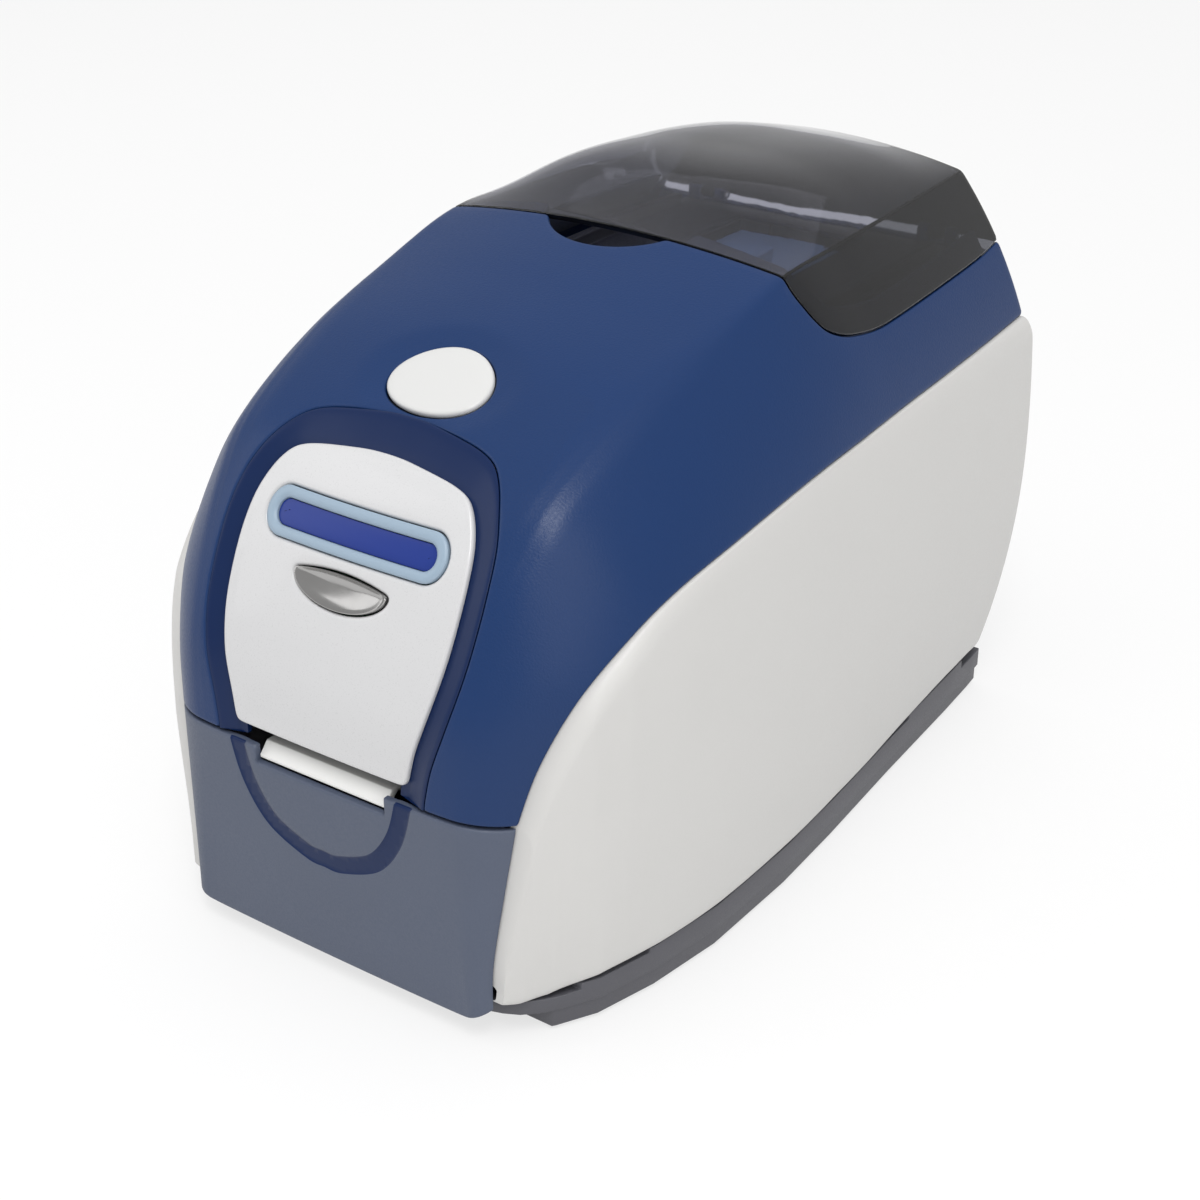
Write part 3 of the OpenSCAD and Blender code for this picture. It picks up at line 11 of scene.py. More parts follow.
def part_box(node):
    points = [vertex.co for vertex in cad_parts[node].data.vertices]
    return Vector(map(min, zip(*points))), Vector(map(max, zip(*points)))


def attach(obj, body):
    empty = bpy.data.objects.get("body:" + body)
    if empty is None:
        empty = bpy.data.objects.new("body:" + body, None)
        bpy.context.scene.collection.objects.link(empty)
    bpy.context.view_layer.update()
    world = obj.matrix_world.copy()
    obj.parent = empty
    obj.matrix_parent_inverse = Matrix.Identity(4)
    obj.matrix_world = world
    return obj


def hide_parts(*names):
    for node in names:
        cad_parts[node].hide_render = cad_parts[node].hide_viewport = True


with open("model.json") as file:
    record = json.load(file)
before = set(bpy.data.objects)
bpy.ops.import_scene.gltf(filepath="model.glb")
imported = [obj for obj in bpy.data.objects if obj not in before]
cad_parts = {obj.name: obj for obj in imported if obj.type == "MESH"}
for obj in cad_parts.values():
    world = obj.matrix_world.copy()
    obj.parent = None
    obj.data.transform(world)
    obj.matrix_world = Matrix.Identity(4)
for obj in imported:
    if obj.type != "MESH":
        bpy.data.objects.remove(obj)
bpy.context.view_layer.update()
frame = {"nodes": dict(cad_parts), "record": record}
body_of = {node: body for body, nodes in frame["record"]["behaviour"]["bodies"].items() for node in nodes}
MM = 0.001  # the sizes below are in millimetres, as on a drawing of the printer

# ---------- base tray, base plate and feet ----------
# The tray is moulded in dark grey plastic with a fine spark finish and carries everything else.
# A sheet steel plate lies in it, and four rubber feet are pressed into its floor.


def srgb(r, g, b):
    """Linear colour of a finish, given as it looks on a screen from 0 to 255."""
    return tuple(c / 3294.6 if c < 10.3 else ((c / 255 + 0.055) / 1.055) ** 2.4 for c in (r, g, b)) + (1.0,)


def finish(name, colour, rough, grain=(0.7, 0.03), mottle=0.04, stretch=(1, 1, 1), **sockets):
    """Material of a moulded, turned or rolled surface. Its colour drifts by the mottle share, its gloss is
    broken up, and grain gives the width and the height of the texture's cells."""
    mat = bpy.data.materials.new(name)
    mat.use_nodes = True
    tree = mat.node_tree
    shader = tree.nodes["Principled BSDF"]
    for socket, value in sockets.items():
        shader.inputs[socket.replace("_", " ")].default_value = value
    place = tree.nodes.new("ShaderNodeTexCoord")
    along = tree.nodes.new("ShaderNodeMapping")
    along.inputs["Scale"].default_value = stretch
    tree.links.new(place.outputs["Object"], along.inputs["Vector"])
    drift = tree.nodes.new("ShaderNodeTexNoise")
    drift.inputs["Scale"].default_value = 34
    drift.inputs["Detail"].default_value = 5
    cells = tree.nodes.new("ShaderNodeTexNoise")
    cells.inputs["Scale"].default_value = 1 / (grain[0] * MM)
    cells.inputs["Detail"].default_value = 2.5
    for texture in (drift, cells):
        tree.links.new(along.outputs["Vector"], texture.inputs["Vector"])
    tone = tree.nodes.new("ShaderNodeMix")
    tone.data_type = "RGBA"
    tone.inputs[6].default_value = tuple(c * (1 - mottle) for c in colour[:3]) + (1,)
    tone.inputs[7].default_value = tuple(min(1, c * (1 + mottle)) for c in colour[:3]) + (1,)
    tree.links.new(drift.outputs["Fac"], tone.inputs[0])
    tree.links.new(tone.outputs[2], shader.inputs["Base Color"])
    gloss = tree.nodes.new("ShaderNodeMapRange")
    for socket, value in (("From Min", 0.3), ("From Max", 0.7),
                          ("To Min", rough * 0.86), ("To Max", min(1, rough * 1.14))):
        gloss.inputs[socket].default_value = value
    tree.links.new(cells.outputs["Fac"], gloss.inputs["Value"])
    tree.links.new(gloss.outputs["Result"], shader.inputs["Roughness"])
    raised = tree.nodes.new("ShaderNodeBump")
    raised.inputs["Distance"].default_value = grain[1] * MM
    tree.links.new(cells.outputs["Fac"], raised.inputs["Height"])
    tree.links.new(raised.outputs["Normal"], shader.inputs["Normal"])
    return mat


def settle(mesh, body, finishes, replaced=()):
    """Puts a finished mesh into the scene: its finishes, its shading, and the body that it moves with."""
    obj = bpy.data.objects.new(mesh.name, mesh)
    bpy.context.scene.collection.objects.link(obj)
    for mat in finishes if isinstance(finishes, (list, tuple)) else [finishes]:
        mesh.materials.append(mat)
    mesh.shade_smooth()
    mesh.set_sharp_from_angle(angle=math.radians(34))
    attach(obj, body)
    if replaced:
        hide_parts(*replaced)
    return obj


def dressed(node, edge, finishes, paint=None, segments=2):
    """Stands for a CAD node: the same solid with its edges rounded, and a finish for each face chosen by
    paint, which gets the face's middle in millimetres and its facing."""
    solid = bmesh.new()
    solid.from_mesh(frame["nodes"][node].data)
    bmesh.ops.remove_doubles(solid, verts=solid.verts, dist=0.004 * MM)
    bmesh.ops.dissolve_limit(solid, angle_limit=math.radians(0.6), verts=solid.verts, edges=solid.edges)
    if edge > 0:
        corners = [e for e in solid.edges if len(e.link_faces) == 2 and e.calc_face_angle(0) > math.radians(38)]
        bmesh.ops.bevel(solid, geom=corners, offset=edge * MM, segments=segments, profile=0.5, affect="EDGES",
                        clamp_overlap=True)
    bmesh.ops.triangulate(solid, faces=[f for f in solid.faces if len(f.verts) > 4])
    if paint:
        for face in solid.faces:
            face.material_index = paint(face.calc_center_median() / MM, face.normal)
    mesh = bpy.data.meshes.new(node + "_dressed")
    solid.to_mesh(mesh)
    solid.free()
    return settle(mesh, body_of[node], finishes, [node])


tray_grey = finish("tray_grey", srgb(76, 76, 82), 0.5, grain=(0.55, 0.035))
sheet_steel = finish("sheet_steel", srgb(176, 178, 181), 0.34, grain=(0.4, 0.006), mottle=0.08,
                     stretch=(1, 9, 9), Metallic=1.0)
foot_rubber = finish("foot_rubber", srgb(30, 30, 32), 0.85, grain=(0.4, 0.03))
dressed("base_tray", 0.8, tray_grey, segments=3)
dressed("base_plate", 0.3, sheet_steel)
dressed("rubber_feet", 0.4, foot_rubber)

# ---------- inner frame ----------
# Two laser-cut steel plates stand on the base plate, spot-welded to folded crossbars. Bronze bushings
# pressed into them carry the roller shafts, and steel rails guide the card by its edges.
bushing_bronze = finish("bushing_bronze", srgb(176, 138, 84), 0.35, grain=(0.3, 0.006), mottle=0.1, Metallic=1.0)
ground_steel = finish("ground_steel", srgb(190, 191, 193), 0.2, grain=(0.25, 0.003), mottle=0.05,
                      stretch=(9, 1, 1), Metallic=1.0)
for plate in ("frame_plate_left", "frame_plate_right"):
    dressed(plate, 0.2, sheet_steel, segments=1)
for folded in ("frame_crossbars", "card_guides", "hinge_posts"):
    dressed(folded, 0.35, sheet_steel)
dressed("roller_bushings", 0.15, bushing_bronze, segments=1)
for turned in ("catch_bar", "hood_hinge_pins", "idler_studs"):
    dressed(turned, 0.2, ground_steel)

# ---------- rollers ----------
# Ground steel shafts carry sleeves of black rubber, or of tacky white silicone on the cleaning roller.
# The four driven ones end in a gear moulded in white acetal, pressed on outside the left frame plate.
roller_rubber = finish("roller_rubber", srgb(38, 38, 40), 0.72, grain=(0.3, 0.02))
roller_silicone = finish("roller_silicone", srgb(206, 208, 206), 0.3, grain=(0.6, 0.008))
gear_acetal = finish("gear_acetal", srgb(222, 220, 212), 0.42, grain=(0.5, 0.008))
sleeve_end, gear_side, bare_shaft_r = 26.7, -38.8, 3.4


def roller_parts(node):
    """Chooses shaft, sleeve or gear for a face of a roller by its distance from the shaft's line."""
    low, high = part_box(node)
    y, z = (low.y + high.y) / 2 / MM, (low.z + high.z) / 2 / MM

    def paint(at, facing):
        if math.hypot(at[1] - y, at[2] - z) < bare_shaft_r:
            return 0
        return 1 if abs(at[0]) < sleeve_end else 2 if at[0] < gear_side else 0
    return paint


for roller in ("pick_roller", "feed_roller", "platen_roller", "exit_roller", "exit_pinch_roller"):
    dressed(roller, 0.12, [ground_steel, roller_rubber, gear_acetal], roller_parts(roller), segments=1)
dressed("cleaning_roller", 0.3, [ground_steel, roller_silicone, gear_acetal], roller_parts("cleaning_roller"))
for idler in ("pick_idler_gear", "feed_idler_gear", "exit_idler_gear"):
    dressed(idler, 0.1, gear_acetal, segments=1)

# ---------- drive motor ----------
# A round direct-current motor with a drawn steel case, screwed to the left plate by two ears. Its brass
# pinion drives the large gear over it.
motor_case = finish("motor_case", srgb(120, 122, 126), 0.38, grain=(0.5, 0.006), stretch=(1, 6, 6), Metallic=1.0)
pinion_brass = finish("pinion_brass", srgb(196, 164, 96), 0.28, grain=(0.3, 0.004), Metallic=1.0)
dressed("drive_motor", 0.8, motor_case, segments=3)
dressed("motor_pinion", 0.1, pinion_brass, segments=1)

# ---------- card hopper, deck, weight and gate ----------
# The hopper is a black moulded box open at the top, with a deck round its mouth. The blue-grey weight
# presses on the stack of cards, and the steel gate sets the slot that one card leaves by.
hopper_black = finish("hopper_black", srgb(34, 35, 39), 0.42, grain=(0.6, 0.03))
deck_black = finish("deck_black", srgb(40, 41, 46), 0.4, grain=(0.8, 0.04))
weight_blue = finish("weight_blue", srgb(128, 160, 196), 0.4, grain=(0.7, 0.02))
dressed("hopper", 0.5, hopper_black)
dressed("feeder_deck", 0.6, deck_black)
dressed("card_weight", 1.2, weight_blue, segments=3)
dressed("gate_slide", 0.3, sheet_steel)

# ---------- ribbon and print head ----------
# The ribbon is a coloured film between two spools. The head is a finned aluminium bar that slides on two
# pins of the bridge under the hood, and presses the film on the card over the platen.
ribbon_dye = finish("ribbon_dye", srgb(150, 128, 40), 0.25, grain=(2.5, 0.01), mottle=0.12)
spool_black = finish("spool_black", srgb(32, 32, 35), 0.45, grain=(0.6, 0.02))
head_metal = finish("head_metal", srgb(96, 98, 102), 0.4, grain=(0.4, 0.01), Metallic=1.0)
wound_half = 28.2


def spool_parts(at, facing):
    return 1 if abs(at[0]) < wound_half and abs(facing[0]) < 0.5 else 0


dressed("ribbon_supply_spool", 0.2, [spool_black, ribbon_dye], spool_parts)
dressed("ribbon_takeup_spool", 0.2, [spool_black, ribbon_dye], spool_parts)
dressed("ribbon_film", 0, ribbon_dye)
dressed("head_bridge", 0.4, sheet_steel)
dressed("print_head", 0.3, head_metal)

# ---------- circuit boards ----------
# Green boards with soldered parts: the main one stands beside the right frame plate on hexagonal
# stand-offs, and a small one sits behind the status window in the hood.
board_green = finish("board_green", srgb(30, 92, 58), 0.35, grain=(0.9, 0.02), mottle=0.15)
chip_black = finish("chip_black", srgb(26, 26, 28), 0.5, grain=(0.4, 0.01))
board_face = 2.2
board_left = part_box("main_board")[0].x / MM
dressed("main_board", 0.15, [board_green, chip_black], lambda at, facing: int(at[0] > board_left + board_face),
        segments=1)
dressed("display_board", 0.15, board_green, segments=1)
dressed("board_standoffs", 0.2, ground_steel, segments=1)

# ---------- rear panel and sockets ----------
# The rear panel is moulded in the tray's grey, with slots for the air. The mains inlet, its rocker switch
# and the two data sockets look out through it. No cord is plugged in.
socket_black = finish("socket_black", srgb(22, 22, 24), 0.35, grain=(0.5, 0.015))
contact_brass = finish("contact_brass", srgb(206, 190, 150), 0.25, grain=(0.3, 0.004), Metallic=1.0)
blade_half_h = 2.3


def inlet_parts(at, facing):
    """The three blades stand in the middle of the inlet, clear of its walls."""
    low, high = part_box("power_socket")
    middle_z, left = (low.z + high.z) / 2 / MM, low.x / MM
    return int(abs(at[2] - middle_z) < blade_half_h and left + 5 < at[0] < left + 24 and abs(facing[1]) < 0.9)


dressed("rear_panel", 0.5, tray_grey)
dressed("power_socket", 0.3, [socket_black, contact_brass], inlet_parts)
dressed("power_rocker", 0.5, socket_black)
dressed("usb_socket", 0.2, ground_steel, segments=1)
dressed("network_socket", 0.25, ground_steel, segments=1)

# ---------- front fascia ----------
# The slate blue fascia closes the front under the hood. Its skin has the spark-eroded grain of the
# covers, and a smooth dark band is let into it, which goes on down from the face plate's surround.
cover_bulge = 2.5
half_body = 101.5
front = -156.6
rear = 156.6
crease_top = 218
seam_low = 83
side_x = half_body - 3


def through(rows, u):
    """Points of the smooth curve through rows of coordinates, at places u counted in rows."""
    rows = np.asarray(rows, float)
    if rows.ndim == 1:
        rows = rows[:, None]
    last = len(rows) - 1
    i = np.clip(np.floor(u).astype(int), 0, last - 1)
    t = (u - i)[:, None]
    p0, p1, p2, p3 = (rows[np.clip(i + k, 0, last)] for k in (-1, 0, 1, 2))
    return 0.5 * (2 * p1 + (p2 - p0) * t + (2 * p0 - 5 * p1 + 4 * p2 - p3) * t**2
                  + (3 * p1 - p0 - 3 * p2 + p3) * t**3)


class Cover:
    """A moulded outer surface. Each station holds the crease (x, y, z), the seam with the side panel
    (x, y, z), the crown of the top and how square it is. u counts stations, and v runs across: 0 is the
    middle, 1 the crease, 2 the seam. softness(u) is how far across the crease is rounded."""
    across = 52.0  # millimetres for each step of v, near enough

    def __init__(self, stations, softness):
        self.stations = np.array(stations, float)
        self.softness = softness
        self.ladder = np.linspace(0, len(stations) - 1, 500)
        steps = np.linalg.norm(np.diff(self.at(self.ladder, 0 * self.ladder + 0.5), axis=0), axis=1)
        self.arc = np.concatenate([[0], np.cumsum(steps)])

    def rows(self, u):
        return through(self.stations, u)

    def sharp(self, u, v):
        q = self.rows(u)
        along = self.rows(u + 0.02)[:, :3] - self.rows(np.maximum(0, u - 0.02))[:, :3]
        along /= np.linalg.norm(along, axis=1)[:, None]
        up = np.stack([0 * u, -along[:, 2], along[:, 1]], 1)
        up /= np.linalg.norm(up, axis=1)[:, None]
        a = np.abs(v)
        crease, seam, w = q[:, :3], q[:, 3:6], (a - 1)[:, None]
        crown = q[:, 6] * (1 - np.minimum(a, 1) ** q[:, 7])
        top = crease * np.stack([a, 1 + 0 * a, 1 + 0 * a], 1) + up * crown[:, None]
        out = np.cross(seam - crease, along)
        out /= np.linalg.norm(out, axis=1)[:, None]
        side = crease + (seam - crease) * w + out * cover_bulge * 4 * w * (1 - w)
        p = np.where((a <= 1)[:, None], top, side)
        p[:, 0] = np.where(v < 0, -p[:, 0], p[:, 0])
        return p

    def at(self, u, v):
        reach = self.softness(u) * np.clip(1.15 - np.abs(np.abs(v) - 1) / 0.45, 0, 1)
        shares = ((-1, 1), (-0.5, 2), (0, 3), (0.5, 2), (1, 1))
        return sum(share * self.sharp(u, v + step * reach) for step, share in shares) / 9

    def facing(self, u, v):
        n = np.cross(self.at(u, v + 0.015) - self.at(u, v - 0.015), self.at(u + 0.02, v) - self.at(u - 0.02, v))
        return n / np.linalg.norm(n, axis=1)[:, None]

    def flat(self, uv):
        return np.stack([np.interp(uv[:, 0], self.ladder, self.arc), uv[:, 1] * self.across], 1)

    def bent(self, pq):
        return np.interp(pq[:, 0], self.arc, self.ladder), pq[:, 1] / self.across

    def locate(self, axes, targets, v=None):
        """Rows and across positions at which the surface has the target coordinates along two axes."""
        targets = np.asarray(targets, float)
        key = axes[1] if axes[0] == 0 else axes[0]
        line = self.at(self.ladder, 0 * self.ladder + (v or 0))[:, key]
        u = np.interp(targets[:, axes.index(key)], line, self.ladder)
        v = targets[:, 0] / self.rows(u)[:, 0] if v is None else u * 0 + v
        for _ in range(14):
            p = self.at(u, v)[:, axes]
            du, dv = (self.at(u + 1e-3, v)[:, axes] - p) / 1e-3, (self.at(u, v + 1e-3)[:, axes] - p) / 1e-3
            miss = targets - p
            det = du[:, 0] * dv[:, 1] - du[:, 1] * dv[:, 0]
            u = u + np.clip((miss[:, 0] * dv[:, 1] - miss[:, 1] * dv[:, 0]) / det, -0.4, 0.4)
            v = v + np.clip((du[:, 0] * miss[:, 1] - du[:, 1] * miss[:, 0]) / det, -0.2, 0.2)
        return np.stack([u, v], 1)


def eased(t):
    t = np.clip(t, 0, 1)
    return t * t * (3 - 2 * t)


def segments_of(loops):
    return np.concatenate([np.stack([loop, np.roll(loop, -1, 0)], 1) for loop in loops])


def inside(points, segments):
    """Whether each point of a flat pattern lies within its loops."""
    found = np.zeros(len(points), bool)
    (ax, ay), (bx, by) = segments[:, 0].T, segments[:, 1].T
    slope = (bx - ax) / np.where(by == ay, 1e-9, by - ay)
    for part in np.array_split(np.arange(len(points)), len(points) // 1500 + 1):
        x, y = points[part, 0, None], points[part, 1, None]
        found[part] = (((ay > y) != (by > y)) & (x < ax + (y - ay) * slope)).sum(1) % 2 == 1
    return found


def reach(points, segments):
    """Distance of each point of a flat pattern from the nearest of its lines."""
    found = np.empty(len(points))
    start, step = segments[:, 0], segments[:, 1] - segments[:, 0]
    long2 = np.maximum((step**2).sum(1), 1e-12)
    for part in np.array_split(np.arange(len(points)), len(points) // 1000 + 1):
        r = points[part][:, None] - start
        t = np.clip((r * step).sum(2) / long2, 0, 1)[..., None]
        found[part] = np.sqrt(((r - t * step) ** 2).sum(2).min(1))
    return found


def mesh_of(name, points, faces, indices=None):
    """Mesh from points in millimetres, with all its faces turned outwards."""
    mesh = bpy.data.meshes.new(name)
    mesh.from_pydata((np.asarray(points) * MM).tolist(), [], faces)
    if indices is not None:
        mesh.polygons.foreach_set("material_index", np.asarray(indices, np.int32))
    solid = bmesh.new()
    solid.from_mesh(mesh)
    bmesh.ops.recalc_face_normals(solid, faces=solid.faces)
    solid.to_mesh(mesh)
    solid.free()
    return mesh


def trimmed_shell(name, cover, loops, us, vs, wall, rim, depth=0.0, relief=None, band=None, rim_finish=0,
                  side_shade_finish=0):
    """Closed shell of a moulding: a patch of a cover within loops of (u, v), the first outside and the rest
    holes. Its rims are rounded to the radius rim, relief sinks it, band is a loop in a second finish, and
    side_shade_finish is a darker finish for the faces beyond the crease, which paints shade on them."""
    flat_loops = [cover.flat(loop) for loop in loops]
    edges = segments_of(flat_loops)
    drawn = flat_loops + ([cover.flat(band)] if band is not None else [])
    points = [np.concatenate(drawn)]
    ties, start = [], 0
    for loop in drawn:
        ties += [(start + i, start + (i + 1) % len(loop)) for i in range(len(loop))]
        start += len(loop)
    for number, loop in enumerate(drawn):
        tangent = np.roll(loop, -1, 0) - np.roll(loop, 1, 0)
        normal = np.stack([-tangent[:, 1], tangent[:, 0]], 1)
        normal /= np.maximum(np.linalg.norm(tangent, axis=1), 1e-9)[:, None]
        own = segments_of([loop])
        sign = 1 if inside(loop + normal * 0.03, own).mean() > 0.5 else -1
        if 0 < number < len(flat_loops):
            sign = -sign
        widths = [0.25, 0.5]
        if number < len(flat_loops):
            widths = [rim * (1 - math.cos(math.radians(a))) for a in (22.5, 45, 67.5, 90)]
        for width in widths:
            ring = loop + sign * normal * width
            clear = (reach(ring, edges) > 0.85 * min(width, rim)) & (reach(ring, own) > 0.85 * width)
            points.append(ring[inside(ring, edges) & clear])
    grid = np.stack(np.meshgrid(us, vs, indexing="ij"), -1).reshape(-1, 2)
    grid = cover.flat(grid)
    keep = inside(grid, edges) & (reach(grid, edges) > rim + 0.6)
    if band is not None:
        keep &= reach(grid, segments_of(drawn[len(flat_loops):])) > 0.8
    points.append(grid[keep])
    out, _, faces, *_ = delaunay_2d_cdt([Vector(p) for p in np.concatenate(points)], ties, [], 0, 1e-4)
    pq = np.array([tuple(p) for p in out])
    faces = np.array([f for f in faces if len(f) == 3])
    faces = faces[inside(pq[faces].mean(1), edges)]
    used, faces = np.unique(faces, return_inverse=True)
    faces, pq = faces.reshape(-1, 3), pq[used]
    u, v = cover.bent(pq)
    near = np.minimum(reach(pq, edges), rim)
    sink = rim - np.sqrt(np.maximum(0, rim**2 - (rim - near) ** 2)) + depth
    lower = np.zeros(len(pq)) if relief is None else relief(pq)
    painted = np.zeros(len(faces), int)
    if band is not None:
        groove = segments_of(drawn[len(flat_loops):])
        lower = lower + band_depth * eased(reach(pq, groove) / 0.5) * inside(pq, groove)
        painted = inside(pq[faces].mean(1), groove).astype(int)
    if side_shade_finish:
        painted[np.abs(v)[faces].min(1) > 0.999] = side_shade_finish
    place, normal = cover.at(u, v), cover.facing(u, v)
    level = eased((np.abs(v) - 1.8) / 0.18)[:, None]
    inward = normal * (1 - level) + np.stack([np.sign(v) * 1.15, 0 * v, 0 * v], 1) * level
    outer = place - normal * (sink + lower)[:, None]
    inner = place - inward * (depth + wall + lower)[:, None]
    n = len(outer)
    pairs = np.concatenate([faces[:, [0, 1]], faces[:, [1, 2]], faces[:, [2, 0]]])
    keys = np.sort(pairs, 1)
    _, first, count = np.unique(keys[:, 0] * n + keys[:, 1], return_index=True, return_counts=True)
    open_edges = pairs[first[count == 1]]
    sides = [(b, a, a + n, b + n) for a, b in open_edges.tolist()]
    kinds = np.concatenate([painted, painted, np.full(len(sides), rim_finish)])
    skins = faces.tolist() + (faces[:, ::-1] + n).tolist()
    return mesh_of(name, np.concatenate([outer, inner]), skins + sides, kinds)


fascia_skin = Cover([
    [56, front + 2, 8, side_x - 33.2, front + 6.6, 12, 0.6, 2],
    [54, front + 1.4, 30, side_x - 32.7, front + 6.8, 30, 0.6, 2],
    [52.5, front + 0.9, 56, side_x - 29.5, front + 9.6, 58, 0.6, 2],
    [51.5, front + 0.6, seam_low, side_x - 26.6, front + 12.2, seam_low - 1.4, 0.6, 2],
    [51.5, front + 0.8, seam_low + 6, side_x - 26.2, front + 12.4, seam_low + 5, 0.6, 2]], lambda u: 0.2 + 0 * u)
cover_wall = 2.6
cover_rim = 0.9
band_depth = 0.25
fascia_top_u = 2.965
slot_half = 27.65
slot_z0, slot_top = 76.3, 82.2
slate_grain = finish("slate_grain", srgb(72, 80, 98), 0.5, grain=(0.75, 0.07))
band_blue = finish("band_blue", srgb(12, 32, 70), 0.32, grain=(0.25, 0.002), mottle=0.01, Specular_IOR_Level=0.22)


def polyline(points, step=1.3):
    """The same line with points no further apart than step."""
    points = np.asarray(points, float)
    parts = []
    for a, b in zip(points[:-1], points[1:]):
        count = max(1, int(np.ceil(np.linalg.norm(b - a) / step)))
        parts.append(a + (b - a) * (np.arange(count) / count)[:, None])
    return np.concatenate(parts + [points[-1:]])


def across_row(cover, u, v0, v1):
    return cover.bent(polyline(cover.flat(np.array([[u, v0], [u, v1]]))))


def pair(uv):
    return np.stack(uv, 1)


# The band's outer curve from the right end of the seam down to its lowest point, and its width
band_outer = [[40, 92], [39, 82], [34, 66], [24, 53], [8, 46], [0, 45.5]]
band_width = 6.6
half_curve = through(band_outer, np.linspace(0, len(band_outer) - 1, 90))
tangent = np.gradient(half_curve, axis=0)
normal = np.stack([tangent[:, 1], -tangent[:, 0]], 1) / np.linalg.norm(tangent, axis=1)[:, None]
inner_half = half_curve + normal * band_width
mirror = np.array([-1, 1])
band_line = np.concatenate([half_curve, half_curve[-2::-1] * mirror, inner_half[:-1] * mirror, inner_half[::-1]])
fascia_loop = np.concatenate([
    pair(across_row(fascia_skin, 0.0, 2, -2))[:-1],
    pair(fascia_skin.bent(polyline(fascia_skin.flat(np.array([[0.0, -2], [fascia_top_u, -2]])))))[:-1],
    pair(across_row(fascia_skin, fascia_top_u, -2, -slot_half / 51.5))[:-1],
    fascia_skin.locate([0, 2], polyline([[-slot_half, slot_top], [-slot_half, slot_z0], [slot_half, slot_z0],
                                         [slot_half, slot_top]])),
    pair(across_row(fascia_skin, fascia_top_u, slot_half / 51.5, 2))[:-1],
    pair(fascia_skin.bent(polyline(fascia_skin.flat(np.array([[fascia_top_u, 2], [0.0, 2]])))))[:-1]])
crease_steps = np.concatenate([np.linspace(0, 0.72, 18), np.linspace(0.75, 1.25, 21), np.linspace(1.28, 2, 20)])
across_steps = np.concatenate([-crease_steps[:0:-1], crease_steps])
mesh = trimmed_shell("front_fascia_shell", fascia_skin, [fascia_loop], np.linspace(0, 3, 44), across_steps,
                     cover_wall, cover_rim, band=fascia_skin.locate([0, 2], band_line))
settle(mesh, "base", [slate_grain, band_blue], ["front_fascia"])

# ---------- side panels ----------
# Each side panel is one large light grey moulding, held to the tray by its tabs. It bulges gently, and its
# edge rolls over towards the blue covers and the tray with a radius of about 8 mm.
panel_grey = finish("panel_grey", srgb(190, 189, 187), 0.42, grain=(0.9, 0.03), mottle=0.015)
panel_wall = 3
panel_round = 8
panel_gap = 0.5
hood_skin = Cover([
    [51.5, front + 0.6, seam_low - 0.5, side_x - 26.5, front + 12.2, seam_low - 1.5, 0.6, 2],
    [54.4, front + 4.1, seam_low + 29, side_x - 21.7, front + 18, seam_low + 19.5, 1.5, 2],
    [57.3, front + 15.1, seam_low + 56, side_x - 14.7, front + 29.6, seam_low + 40.5, 2, 2],
    [61, front + 29.1, seam_low + 79.5, side_x - 8.2, front + 49.6, seam_low + 56.5, 3, 2],
    [64.1, front + 46.6, crease_top - 38, side_x - 4.5, front + 68.1, seam_low + 65, 3.8, 2],
    [67.5, front + 84.1, crease_top - 20.4, side_x - 1.4, front + 97.6, seam_low + 71.4, 5, 2],
    [69.7, -30, crease_top - 9, side_x, -14, seam_low + 77.5, 6, 2],
    [70, 8, crease_top - 0.3, side_x - 0.5, 22.5, seam_low + 79.6, 7.3, 2],
    [68.5, 46, crease_top, side_x - 1.5, 50, seam_low + 80.8, 17.6, 3.4],
    [66, 85, crease_top, side_x - 3, 85, seam_low + 81.6, 17.4, 3.4],
    [63, 124, crease_top, side_x - 5.2, 124, seam_low + 82.3, 13.5, 3],
    [60.2, rear, crease_top, side_x - 7.5, rear, seam_low + 83, 6.4, 2],
    [59.6, rear + 6, crease_top, side_x - 8, rear + 6, seam_low + 83.2, 5, 2]],
    lambda u: 0.2 - 0.17 * eased((u - 4.2) / 2.6))
panel_low = [[front + 6.4, 16.2], [front + 7.4, 15], [front + 9.4, 14.5], [front + 12.4, 14.4], [front + 18, 15],
             [front + 26.7, 16.8], [front + 36.4, 18.2], [front + 50, 18.7], [-88, 18.9], [-59, 19.3], [-14, 19.5],
             [22, 19.4], [50, 19.5], [84, 21.2], [122, 22.6], [rear - 8.5, 21.4]]
panel_mid = [[front + 6, 70.2], [front + 12.6, 78.4], [front + 21.6, 85.2], [front + 29.6, 89.6],
             [front + 43.6, 93.8], [-88, 97.6], [-59, 100], [-25, half_body - 0.1], [22, half_body - 0.1],
             [79, half_body - 1], [rear + 1, half_body - 3.1]]
panel_foot = [[front + 6, 69], [front + 12, 73.8], [front + 20, 79], [front + 35, 88], [front + 59.5, 94.8],
              [-66, 99], [-20.5, 99.4], [16.4, 97.2], [68.5, 93.2], [124.6, 89.5], [rear + 1, 86.8]]
panel_mid_z, panel_foot_z = 110, 18
fascia_marks = [0.54, 0.95, 1.25, 2.04, 2.985]


def along_y(rows, y):
    rows = np.asarray(rows, float)
    return through(rows, np.interp(y, rows[:, 0], np.arange(len(rows))))[:, 1]


def panel_x(y, z):
    mid, foot = along_y(panel_mid, y), along_y(panel_foot, y)
    fall = (panel_mid_z - z) / (panel_mid_z - panel_foot_z)
    return np.where(z < panel_mid_z, mid - (mid - foot) * fall**2, mid - 2.2 * ((z - panel_mid_z) / 50) ** 2)


def panel_edge(w):
    i = np.clip(np.floor(w).astype(int), 0, 3)
    marks = np.array(fascia_marks)
    low = fascia_skin.sharp(marks[i] + (marks[i + 1] - marks[i]) * (w - i), 2 + 0 * w)
    high = hood_skin.sharp(np.maximum(w - 4, 0), 2 + 0 * w)
    return np.where((w >= 4)[:, None], high, low)


